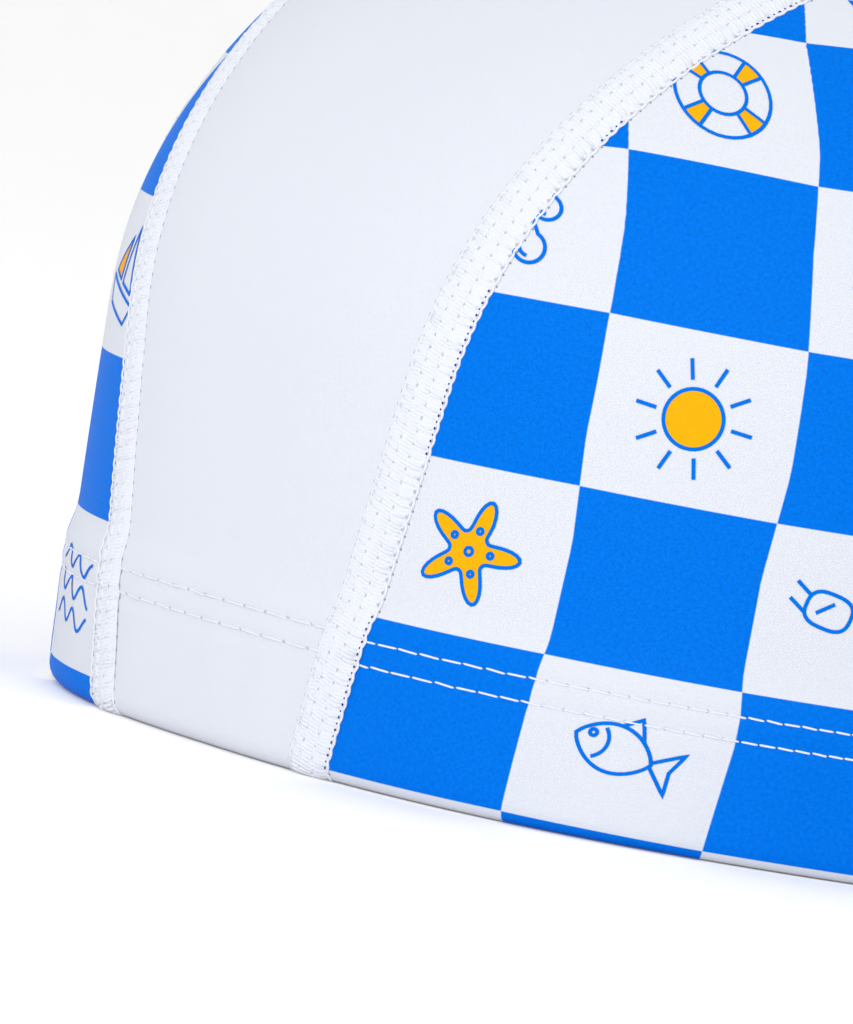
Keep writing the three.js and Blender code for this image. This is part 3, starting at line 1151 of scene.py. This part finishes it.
def hem_dash(material):
    """One stitch of the hem, dipping into the cloth at both ends."""
    reach, lean, proud, dip = 1.15, -0.04, 0.035, 0.15
    along = np.linspace(-reach, reach, 9)
    rise = proud - dip * np.abs(along / reach) ** 6
    path = stacked(along, lean * along, rise)
    return thread_piece("hem_dash", path, DASH_RADIUS, material, sides=6, end=0.45)


def looper_zigzag(material, gauge, pitch):
    """The looper thread inside the hem, from one needle row to the other and back."""
    proud = 0.12
    turns = ((-2, -1), (-1, 0), (0, 1), (1, 0), (2, -1))
    path = [(x * pitch / 4, y * gauge / 2, proud) for x, y in turns]
    return thread_piece("looper", path, LOOPER_RADIUS, material)


def stitch_tree():
    """Geometry Nodes that set a stitch at each point of a path, standing out in the path's own direction."""
    tree = bpy.data.node_groups.new("stitches_along_a_path", "GeometryNodeTree")
    sockets = (
        ("Path", "INPUT", "NodeSocketGeometry"),
        ("Stitch", "INPUT", "NodeSocketObject"),
        ("Unevenness", "INPUT", "NodeSocketFloat"),
        ("Seed", "INPUT", "NodeSocketInt"),
        ("Thread", "INPUT", "NodeSocketMaterial"),
        ("Stitches", "OUTPUT", "NodeSocketGeometry"),
    )
    for name, way, kind in sockets:
        tree.interface.new_socket(name, in_out=way, socket_type=kind)

    def add(kind, **settings):
        made = tree.nodes.new(kind)
        for key, value in settings.items():
            setattr(made, key, value)
        return made

    def stored(name):
        made = add("GeometryNodeInputNamedAttribute", data_type="FLOAT_VECTOR")
        made.inputs["Name"].default_value = name
        return made

    def scaled(sign):
        made = add("ShaderNodeVectorMath", operation="SCALE")
        made.inputs[0].default_value = (sign, sign, sign)
        return made

    given = add("NodeGroupInput")
    curve = add("GeometryNodeMeshToCurve")
    put = add("GeometryNodeInstanceOnPoints")
    stitch = add("GeometryNodeObjectInfo")
    tangent = add("GeometryNodeInputTangent")
    axes = add("FunctionNodeAxesToRotation", primary_axis="X", secondary_axis="Z")
    shake = add("FunctionNodeRandomValue", data_type="FLOAT_VECTOR")
    most, least = scaled(1.0), scaled(-1.0)
    turn = add("FunctionNodeEulerToRotation")
    rotate = add("FunctionNodeRotateRotation", rotation_space="LOCAL")
    realize = add("GeometryNodeRealizeInstances")
    finish = add("GeometryNodeSetMaterial")
    result = add("NodeGroupOutput")

    links = (
        (given, "Path", curve, "Mesh"),
        (curve, "Curve", put, "Points"),
        (given, "Stitch", stitch, "Object"),
        (stitch, "Geometry", put, "Instance"),
        (tangent, "Tangent", axes, "Primary Axis"),
        (stored("facing"), "Attribute", axes, "Secondary Axis"),
        (given, "Unevenness", most, "Scale"),
        (given, "Unevenness", least, "Scale"),
        (least, 0, shake, "Min"),
        (most, 0, shake, "Max"),
        (given, "Seed", shake, "Seed"),
        (shake, "Value", turn, "Euler"),
        (axes, "Rotation", rotate, "Rotation"),
        (turn, "Rotation", rotate, "Rotate By"),
        (rotate, "Rotation", put, "Rotation"),
        (stored("size"), "Attribute", put, "Scale"),
        (put, "Instances", realize, "Geometry"),
        (realize, "Geometry", finish, "Geometry"),
        (given, "Thread", finish, "Material"),
        (finish, "Geometry", result, "Stitches"),
    )
    for source, output, target, socket in links:
        tree.links.new(source.outputs[output], target.inputs[socket])
    return tree


def stitches(tree, path, facing, stitch, uneven, seed, stretch=1.0):
    """The mesh of a stitch at each point of a path, stretched along it, its Z in the facing direction."""
    mesh = bpy.data.meshes.new("path")
    mesh.from_pydata(path.tolist(), [(i, i + 1) for i in range(len(path) - 1)], [])
    size = np.ones((len(path), 3))
    size[:, 0] = stretch
    for name, values in (("facing", facing), ("size", size)):
        layer = mesh.attributes.new(name, "FLOAT_VECTOR", "POINT")
        layer.data.foreach_set("vector", np.asarray(values, dtype=np.float32).ravel())
    obj = bpy.data.objects.new("path", mesh)
    bpy.context.scene.collection.objects.link(obj)
    modifier = obj.modifiers.new("stitches", "NODES")
    modifier.node_group = tree
    given = {"Stitch": stitch, "Unevenness": uneven, "Seed": seed, "Thread": stitch.data.materials[0]}
    for item in tree.interface.items_tree:
        if item.name in given and item.in_out == "INPUT":
            modifier[item.identifier] = given[item.name]
    bpy.context.view_layer.update()
    made = bpy.data.meshes.new_from_object(obj.evaluated_get(bpy.context.evaluated_depsgraph_get()))
    obj.modifiers.remove(modifier)
    bpy.data.objects.remove(obj)
    return made


def joined(name, meshes):
    """One piece out of several meshes, keeping each one's material."""
    points, faces, slots, materials = [], [], [], []
    start = 0
    for mesh in meshes:
        material = mesh.materials[0]
        if material not in materials:
            materials.append(material)
        co = np.zeros(3 * len(mesh.vertices), dtype=np.float32)
        mesh.vertices.foreach_get("co", co)
        points.append(co.reshape(-1, 3))
        faces += [[start + i for i in face.vertices] for face in mesh.polygons]
        slots += [materials.index(material)] * len(mesh.polygons)
        start += len(mesh.vertices)
        bpy.data.meshes.remove(mesh)
    return mesh_object(name, np.concatenate(points), faces, materials, slots)


def pressed(obj):
    """What would reach below the floor is pressed flat on it."""
    for vertex in obj.data.vertices:
        vertex.co.z = max(vertex.co.z, 0.0)
    obj.data.update()


def drop(objects):
    for obj in objects:
        bpy.data.objects.remove(obj)


class SWIMCAP_OT_seam_stitches(Operator):
    """Make the threads of the two seams: crossing threads, needle rows and the waves along their edges"""

    bl_idname = "swimcap.seam_stitches"
    bl_label = "Seam stitches"

    def execute(self, context):
        cap, dome = opened(context)
        tree = stitch_tree()
        thread = thread_finish(cap)
        for within in (False, True):
            cloth = SeamCloth(cap, dome, within)
            name = "seam_inner_stitches" if within else "seam_stitches"
            left = self.threads(cap, cloth, tree, thread, -1 if within else 1, "left_" + name)
            pressed(left)
            finished(left)
            finished(mirrored(left, "right_" + name, list(left.data.materials)))
        return {"FINISHED"}

    def threads(self, cap, cloth, tree, thread, way, name):
        """All the threads on one face of a seam as one piece."""
        seed = cap.sewing.seed + (20 if way < 0 else 0)
        rise = band_rise(0.0)
        crossings = round(cloth.length * MM / cap.sewing.cover_pitch)
        along = (np.arange(crossings) + 0.5) * cloth.length / crossings
        cover = cover_thread(thread)
        meshes = [stitches(tree, cloth.place(along, 0.0, rise), cloth.out(along, 0.0), cover, 0.05, seed)]
        spent = [cover]
        for across, share in NEEDLE_BARS:
            along = cloth.stitches(share)
            bar = needle_bar(thread, -way * across, cloth.pitch)
            path, facing = cloth.place(along, 0.0, rise), cloth.out(along, 0.0)
            meshes.append(stitches(tree, path, facing, bar, 0.04, seed + len(spent)))
            spent.append(bar)
        for row in EDGE_THREADS:
            edge = edge_thread(cloth, row.middle, row.swing, row.radius, thread)
            meshes.append(edge.data.copy())
            spent.append(edge)
        drop(spent)
        return joined(name, meshes)


class SWIMCAP_OT_hole_shades(Operator):
    """Make dots of painted shade in the needle holes along the edges of each seam and its needle rows, and in
    the gaps beside its edge threads
    """

    bl_idname = "swimcap.needle_holes"
    # The dots drawn here are painted shade in and beside the needle holes.
    bl_label = "Needle holes"

    def execute(self, context):
        cap, dome = opened(context)
        printed = PrintMap(dome, cap.print)
        shades = [needle_hole(name, color) for name, color in NEEDLE_SHADES]
        cloth = SeamCloth(cap, dome)
        for side, odd, way in SIDES:
            shift = cap.print.right_shift if odd else 0.0
            points, faces, slots = [], [], []
            for row in NEEDLE_ROWS:
                along = cloth.stitches(row.share)
                beside = cloth.on(cloth.dome_lines, along, np.full(len(along), 3.0))
                checks = np.floor(printed.checks(printed.flat(beside), shift))
                blue = (checks.sum(axis=1) % 2 == 1) != odd
                if row.on != "both":
                    kept = blue == (row.on == "blue")
                    along, blue = along[kept], blue[kept]
                made, shape = marks(cloth, along, row.across, row.size, row.long, row.rise)
                for k, mark in enumerate(made):
                    start = len(points) * mark.shape[0]
                    points.append(mark * (way, 1, 1))
                    faces += [[start + i for i in f] for f in shape]
                    # Each dot takes the painted shade for the cloth beside it, blue or white.
                    slots += [row.shade_in_blue if blue[k] else row.shade] * len(shape)
            obj = mesh_object(side + "_needle_holes", np.concatenate(points), faces, shades, slots)
            recalculated(obj)
            pressed(obj)
            finished(obj)
        return {"FINISHED"}


def lifted(cap, dome, line, side, lift, along):
    """A line on a face of the hem, and the direction that its threads stand out in."""
    normal = dome.outward(line)
    facing = normal if side == "out" else -normal
    off = cloth_offset(line[:, 2], side, along, cap.sewing)
    return line + normal * off[:, None] + facing * lift, facing


class SWIMCAP_OT_hem_stitches(Operator):
    """Make the twin rows of stitches round the hem, and the looper thread inside it"""

    bl_idname = "swimcap.hem_stitches"
    bl_label = "Hem stitches"

    def execute(self, context):
        cap, dome = opened(context)
        sewing = cap.sewing
        tree = bpy.data.node_groups["stitches_along_a_path"]
        thread = bpy.data.materials["sewing_thread"]
        dash = hem_dash(thread)
        gauge = (sewing.hem_row_high - sewing.hem_row_low) / MM
        zigzag = looper_zigzag(thread, gauge, sewing.hem_stitch / MM)
        printed = PrintMap(dome, cap.print)
        left, centre = [], []

        def sew(made, line, side, stitch, table, seed):
            along = printed.flat(line)[..., 0] if made is left else line[:, 0]
            path, facing = lifted(cap, dome, line, side, 0.0, along)
            count = stitch_counts(line, table)
            wanted = np.arange(round(count[-1]) + 1.0)
            path, facing = sampled(path, count, wanted), sampled(facing, count, wanted)
            paces = np.gradient(run(path)) / sewing.hem_stitch
            made.append(stitches(tree, path, facing, stitch, 0.05 if side == "out" else 0.0, seed, paces))

        for seed, row in enumerate((sewing.hem_row_low, sewing.hem_row_high)):
            sew(left, hem_line_side(dome, row), "out", dash, SIDE_STITCHES, seed)
            for end in (-1, 1):
                line = hem_line_centre(dome, row + sewing.front_row_rise, end)
                sew(centre, line, "out", dash, CENTRE_STITCHES, seed + 5 + end)
        sew(left, hem_line_side(dome, hem_middle(cap)), "inn", zigzag, SIDE_STITCHES, 3)
        for end in (-1, 1):
            sew(centre, hem_line_centre(dome, hem_middle(cap), end), "inn", zigzag, CENTRE_STITCHES, 4)
        side = joined("left_hem_stitches", left)
        pieces = [side, mirrored(side, "right_hem_stitches", [thread]), joined("centre_hem_stitches", centre)]
        drop([dash, zigzag])
        for obj in pieces:
            finished(obj)
        return {"FINISHED"}


Stroke = namedtuple("Stroke", "points closed filled")

# A motif's size on its check, and how far its ink stands off the cloth: a filling, a line, and each line
# over the last one, in millimetres.
MOTIF_SIZE = 0.95
FILL_LIFT = 0.035
LINE_LIFT = 0.055
NEXT_LINE_LIFT = 0.004
# Columns and rows of checks that a side panel reaches, and how near a seam its motifs end, in millimetres.
MOTIF_COLUMNS = range(-2, 13)
MOTIF_ROWS = range(0, 7)
MOTIF_TO_SEAM = 1.2


def arc(x, y, radius, start=0.0, end=360.0, steps=36, tall=1.0):
    turn = np.radians(np.linspace(start, end, steps))
    return stacked(x + radius * np.cos(turn), y + radius * tall * np.sin(turn))


def circle(x, y, radius, filled=False, steps=36):
    return Stroke(arc(x, y, radius, 0, 360 - 360 / steps, steps), True, filled)


def line(*points):
    return Stroke(np.array(points, float), False, False)


def wave_motif():
    """Three rolling waves."""
    x = np.linspace(-5.6, 5.6, 50)
    waves = [stacked(x, y + 0.95 * np.sin(x * 1.35 + y)) for y in (-3.0, 0.0, 3.0)]
    return [Stroke(wave, False, False) for wave in waves]


def starfish_motif():
    turn = np.linspace(0, 2 * pi, 100)[:-1]
    radius = 2.1 + 3.3 * (0.5 + 0.5 * np.cos(5 * turn)) ** 1.7
    outline = stacked(radius * np.sin(turn + 0.2), radius * np.cos(turn + 0.2))
    dots = [circle(2.3 * sin(a + 0.2), 2.3 * cos(a + 0.2), 0.28, steps=10) for a in 2 * pi * np.arange(5) / 5]
    return [Stroke(outline, True, True), circle(0, 0, 0.4, steps=10), *dots]


def fish_motif():
    x = np.linspace(-1, 1, 30)
    back = stacked(-0.9 + 4.0 * x, 2.5 * (1 - x**2) ** 0.8)
    belly = back[::-1] * (1, -1)
    body = Stroke(np.concatenate([back, belly[1:-1]]), True, False)
    tail = line((3.0, 0.2), (5.6, 2.3), (5.0, 0), (5.6, -2.3), (3.0, -0.2))
    gill = Stroke(arc(-3.6, 0, 2.0, -52, 52, 16), False, False)
    fin = line((-1.2, 2.5), (0.3, 3.9), (1.4, 1.9))
    return [body, tail, gill, fin, circle(-3.4, 0.7, 0.35, steps=10)]


def ring_motif():
    """A lifebuoy, with four bands."""
    strokes = [circle(0, 0, 5.1), circle(0, 0, 2.5)]
    for k in range(4):
        middle = 45 + 90 * k
        outer = arc(0, 0, 5.1, middle - 13, middle + 13, 7)
        inner = arc(0, 0, 2.5, middle + 13, middle - 13, 7)
        strokes.append(Stroke(np.concatenate([outer, inner]), True, True))
    return strokes


def goggles_motif():
    turn = np.linspace(0, 2 * pi, 40)[:-1]
    strokes = []
    for way in (-1, 1):
        x = way * 3.1 + 2.3 * np.sign(np.cos(turn)) * np.abs(np.cos(turn)) ** 0.7
        y = 1.75 * np.sign(np.sin(turn)) * np.abs(np.sin(turn)) ** 0.7
        strokes.append(Stroke(stacked(x, y), True, False))
        strokes.append(line((way * 5.4, 0.9), (way * 7.0, 1.6)))
        strokes.append(line((way * 5.4, -0.9), (way * 7.0, -0.2)))
        strokes.append(line((way * 3.1 - 1.0, -0.5), (way * 3.1 + 0.2, 0.8)))
    strokes.append(Stroke(arc(0, 0.2, 0.85, 200, 340, 10, -0.8), False, False))
    return strokes


def drops_motif():
    strokes = []
    for x, y, size in ((-2.4, 0.9, 1.0), (2.6, 1.6, 0.72), (1.2, -2.7, 0.85)):
        turn = np.linspace(0.5, 2 * pi - 0.5, 30)
        bowl = stacked(x + 1.9 * size * np.sin(turn), y - 0.8 * size + 1.9 * size * np.cos(turn))
        tip = np.array([[x, y + 3.1 * size]])
        strokes.append(Stroke(np.concatenate([tip, bowl]), True, False))
        strokes.append(Stroke(arc(x, y - 0.8 * size, 1.1 * size, 195, 255, 8), False, False))
    return strokes


def shell_motif():
    turn = np.radians(np.linspace(20, 160, 71))
    radius = 6.0 + 0.32 * np.abs(np.sin((turn - turn[0]) * 7 * pi / (turn[-1] - turn[0])))
    fan = stacked(radius * np.cos(turn), -3.2 + radius * np.sin(turn))
    foot = np.array([[-1.4, -3.0], [-1.7, -4.2], [1.7, -4.2], [1.4, -3.0]])
    ribs = [line((0.4 * cos(a), -2.9 + 0.4 * sin(a)), (5.6 * cos(a), -3.2 + 5.6 * sin(a)))
            for a in np.radians([47, 68, 90, 112, 133])]
    return [Stroke(np.concatenate([fan, foot]), True, False), *ribs]


def sun_motif():
    angles = 2 * pi * np.arange(10) / 10
    rays = [line((3.9 * cos(a), 3.9 * sin(a)), (5.7 * cos(a), 5.7 * sin(a))) for a in angles]
    return [circle(0, 0, 2.9, True), *rays]


def boat_motif():
    hull = Stroke(np.array([(-5.4, -1.9), (5.4, -1.9), (3.8, -4.4), (-3.8, -4.4)]), True, False)
    sail = Stroke(np.array([(-0.3, -1.0), (-0.3, 5.2), (-4.2, -1.0)]), True, False)
    jib = Stroke(np.array([(0.9, -1.0), (0.9, 3.7), (4.2, -1.0)]), True, True)
    return [hull, sail, jib]


MOTIFS = (
    fish_motif,
    starfish_motif,
    wave_motif,
    ring_motif,
    shell_motif,
    goggles_motif,
    sun_motif,
    drops_motif,
    boat_motif,
)


def even_points(points, closed, step):
    """A stroke's points at about one spacing, corners kept."""
    if closed:
        points = np.concatenate([points, points[:1]])
    made = []
    for a, b in zip(points[:-1], points[1:]):
        pieces = max(1, int(np.ceil(np.linalg.norm(b - a) / step)))
        made += [inside(a, b, k / pieces) for k in range(pieces)]
    if not closed:
        made.append(points[-1])
    return np.array(made)


def ribbon(stroke, width, step):
    """Flat quads along a stroke, with mitred corners."""
    points = even_points(stroke.points, stroke.closed, step)
    before = np.roll(points, 1, axis=0)
    after = np.roll(points, -1, axis=0)
    if not stroke.closed:
        before[0], after[-1] = 2 * points[0] - points[1], 2 * points[-1] - points[-2]
    into = unit(points - before)
    out = unit(after - points)
    half = into + out
    half /= np.maximum(np.linalg.norm(half, axis=1, keepdims=True), 1e-6)
    across = stacked(-half[:, 1], half[:, 0])
    stretch = 1 / np.clip((half * into).sum(axis=1), 0.5, 1)
    reach = across * (stretch * width / 2)[:, None]
    if not stroke.closed:
        points = points.copy()
        points[0] -= out[0] * width * 0.35
        points[-1] += into[-1] * width * 0.35
    places = np.concatenate([points + reach, points - reach])
    n = len(points)
    last = n if stroke.closed else n - 1
    faces = [[n + k, n + (k + 1) % n, (k + 1) % n, k] for k in range(last)]
    return places, faces


def filling(stroke, step):
    """Triangles that fill a closed stroke, fine enough to bend with the cloth."""
    outline = even_points(stroke.points, True, step)
    low, high = outline.min(axis=0), outline.max(axis=0)
    grid = [(x, y) for x in np.arange(low[0], high[0], step) for y in np.arange(low[1], high[1], step)]
    count = len(outline)
    points = [Vector(p) for p in outline.tolist()] + [Vector(p) for p in grid]
    result = delaunay_2d_cdt(points, [], [list(range(count))], 1, 1e-4)
    return np.array([list(p) for p in result[0]]), [list(f) for f in result[2]]


def turned(points, angle, size):
    c, s = cos(angle) * size, sin(angle) * size
    return np.asarray(points) @ np.array([[c, s], [-s, c]])


class SWIMCAP_OT_motifs(Operator):
    """Draw the small motifs on the white checks of both side panels"""

    bl_idname = "swimcap.motifs"
    bl_label = "Motifs"

    def execute(self, context):
        cap, dome = opened(context)
        printed = PrintMap(dome, cap.print)
        inks = [ink("blue_ink", cap.print.blue, cap), ink("yellow_ink", cap.print.yellow, cap)]
        for side in SIDES:
            finished(self.drawing(cap, dome, printed, inks, side))
        return {"FINISHED"}

    def drawing(self, cap, dome, printed, inks, side):
        """All the motifs of one side as one piece."""
        odd = int(side.odd)
        shift = odd * cap.print.right_shift
        width, height = cap.print.check_width / MM, cap.print.check_height / MM
        line_width = cap.print.line / MM / MOTIF_SIZE
        places, faces, slots, lifts = [], [], [], []
        for column in MOTIF_COLUMNS:
            for row in MOTIF_ROWS:
                if (column + row + odd) % 2:
                    continue
                motif = MOTIFS[(column * 2 + row * 3 + 4 * odd) % len(MOTIFS)]()
                angle = radians(((column * 37 + row * 53) % 5 - 2) * 7)
                for order, stroke in enumerate(motif):
                    parts = [(ribbon(stroke, line_width, 0.5), 0, LINE_LIFT + NEXT_LINE_LIFT * order)]
                    if stroke.filled:
                        parts.insert(0, (filling(stroke, 1.0), 1, FILL_LIFT))
                    for (flat, made), slot, lift in parts:
                        flat = turned(flat, angle, MOTIF_SIZE) / (width, height) + (column + 0.5, row + 0.5)
                        start = sum(len(p) for p in places)
                        places.append(flat)
                        lifts.append(np.full(len(flat), lift))
                        faces += [[start + i for i in f] for f in made]
                        slots += [slot] * len(made)
        places, lifts = np.concatenate(places), np.concatenate(lifts)
        base = printed.from_checks(places[:, 0], places[:, 1], shift)
        flat = printed.flat(base)
        off = cloth_offset(base[:, 2], "out", flat[:, 0], cap.sewing)
        off = np.where(base[:, 2] > dome.hem_height, 0.0, off)
        points = base + dome.outward(base) * (off + lifts * MM)[:, None]
        kept = (seam_side(base, dome) > MOTIF_TO_SEAM * MM) & (places[:, 1] > -0.05)
        chosen = [k for k, f in enumerate(faces) if all(kept[i] for i in f)]
        faces, slots = [faces[k] for k in chosen], [slots[k] for k in chosen]
        used = np.unique([i for f in faces for i in f])
        number = np.full(len(points), -1)
        number[used] = np.arange(len(used))
        faces = [[int(number[i]) for i in f] for f in faces]
        points, flat = points[used], flat[used]
        if odd:
            points = points * (-1, 1, 1)
            faces = [f[::-1] for f in faces]
        return mesh_object(side.name + "_side_motifs", points, faces, inks, slots, {"cloth": flat / MM})


def towards(azimuth, elevation):
    """The direction out from the cap, turned from the forehead to the wearer's left, and raised."""
    return Vector((sin(azimuth) * cos(elevation), -cos(azimuth) * cos(elevation), sin(elevation)))


class SWIMCAP_OT_stage(Operator):
    """Set up the pale floor, the soft light and the camera"""

    bl_idname = "swimcap.stage"
    bl_label = "Stage"

    def execute(self, context):
        scene = context.scene
        stage = scene.swim_cap.stage
        scene.view_settings.view_transform = "Standard"
        self.floor()
        self.light(scene)
        self.camera(scene, stage)
        return {"FINISHED"}

    def floor(self):
        """A wide pale floor that curves up far behind the cap."""
        turn = np.linspace(0, 2 * pi, 97)[:-1]
        profile = [(0.5, 0.0), (2.0, 0.0), (3.0, 0.0), (3.6, 0.15), (3.9, 0.6), (4.0, 1.6), (4.0, 4.0)]
        points = [(r * cos(t), r * sin(t), z) for r, z in profile for t in turn] + [(0, 0, 0)]
        n = len(turn)
        faces = [
            [k * n + i, k * n + (i + 1) % n, (k + 1) * n + (i + 1) % n, (k + 1) * n + i]
            for k in range(len(profile) - 1) for i in range(n)
        ]
        faces += [[len(points) - 1, (i + 1) % n, i] for i in range(n)]
        nodes = Nodes("studio_floor")
        material = nodes.surface((0.97, 0.97, 0.97, 1.0), None, 0.9, specular=0.0, glow=0.06)
        mesh_object("studio_floor", np.array(points, float), faces, [material])

    def light(self, scene):
        """An even white room and one large softbox."""
        world = bpy.data.worlds.new("studio")
        world.use_nodes = True
        room = world.node_tree.nodes["Background"]
        room.inputs["Color"].default_value = (1.0, 1.0, 1.0, 1.0)
        room.inputs["Strength"].default_value = 0.9
        scene.world = world
        self.softbox("key", azimuth=30, elevation=20, distance=1.6, size=1.2, watts=13.3)

    def softbox(self, name, azimuth, elevation, distance, size, watts):
        """A square light that faces the cap."""
        lamp = bpy.data.lights.new(name, "AREA")
        lamp.energy = watts
        lamp.size = size
        lamp.color = (1.0, 0.99, 0.97)
        obj = bpy.data.objects.new(name, lamp)
        back = towards(radians(azimuth), radians(elevation))
        place = Matrix.Translation(Vector((0, 0, 0.05)) + back * distance)
        obj.matrix_world = place @ back.to_track_quat("Z", "Y").to_matrix().to_4x4()
        bpy.context.scene.collection.objects.link(obj)

    def camera(self, scene, stage):
        back = towards(stage.azimuth, stage.elevation)
        right = Vector((cos(stage.azimuth), sin(stage.azimuth), 0))
        up = back.cross(right)
        across = right * cos(stage.roll) + up * sin(stage.roll)
        upwards = up * cos(stage.roll) - right * sin(stage.roll)
        target = right * stage.target_side + Vector((0, 0, stage.target_height))
        place = Matrix((across, upwards, back)).transposed().to_4x4()
        data = bpy.data.cameras.new("camera")
        data.sensor_width = 36
        data.lens = stage.focal_share * data.sensor_width
        data.clip_start = 0.01
        obj = bpy.data.objects.new("camera", data)
        obj.matrix_world = Matrix.Translation(target + back * stage.distance) @ place
        scene.collection.objects.link(obj)
        scene.camera = obj


class SWIMCAP_PG_cap(PropertyGroup):
    """Everything that can be set on the cap."""

    shape: PointerProperty(name="Shape", description="The cap's form", type=SWIMCAP_PG_shape)
    print: PointerProperty(name="Print", description="The print", type=SWIMCAP_PG_print)
    sewing: PointerProperty(name="Sewing", description="The threads", type=SWIMCAP_PG_sewing)
    stage: PointerProperty(name="Stage", description="The camera", type=SWIMCAP_PG_stage)


OPERATORS = (
    SWIMCAP_OT_centre_panel,
    SWIMCAP_OT_side_panels,
    SWIMCAP_OT_seam_bands,
    SWIMCAP_OT_seam_stitches,
    SWIMCAP_OT_hole_shades,
    SWIMCAP_OT_hem_stitches,
    SWIMCAP_OT_motifs,
    SWIMCAP_OT_stage,
)


class SWIMCAP_PT_sidebar(Panel):
    """The cap's sizes and its operators"""

    bl_label = "Swim cap"
    bl_idname = "SWIMCAP_PT_sidebar"
    bl_space_type = "VIEW_3D"
    bl_region_type = "UI"
    bl_category = "Swim cap"

    def draw(self, context):
        cap = context.scene.swim_cap
        for group in (cap.shape, cap.print, cap.sewing, cap.stage):
            box = self.layout.box()
            for name in group.bl_rna.properties.keys():
                if name not in ("rna_type", "name"):
                    box.prop(group, name)
        for operator in OPERATORS:
            self.layout.operator(operator.bl_idname)


CLASSES = (
    SWIMCAP_PG_shape,
    SWIMCAP_PG_print,
    SWIMCAP_PG_sewing,
    SWIMCAP_PG_stage,
    SWIMCAP_PG_cap,
    *OPERATORS,
    SWIMCAP_PT_sidebar,
)


def register():
    for cls in CLASSES:
        bpy.utils.register_class(cls)
    bpy.types.Scene.swim_cap = PointerProperty(type=SWIMCAP_PG_cap)


def unregister():
    del bpy.types.Scene.swim_cap
    for cls in reversed(CLASSES):
        bpy.utils.unregister_class(cls)


def main():
    register()
    bpy.ops.swimcap.centre_panel()
    bpy.ops.swimcap.side_panels()
    bpy.ops.swimcap.seam_bands()
    bpy.ops.swimcap.seam_stitches()
    bpy.ops.swimcap.needle_holes()
    bpy.ops.swimcap.hem_stitches()
    bpy.ops.swimcap.motifs()
    bpy.ops.swimcap.stage()


if __name__ == "__main__":
    main()
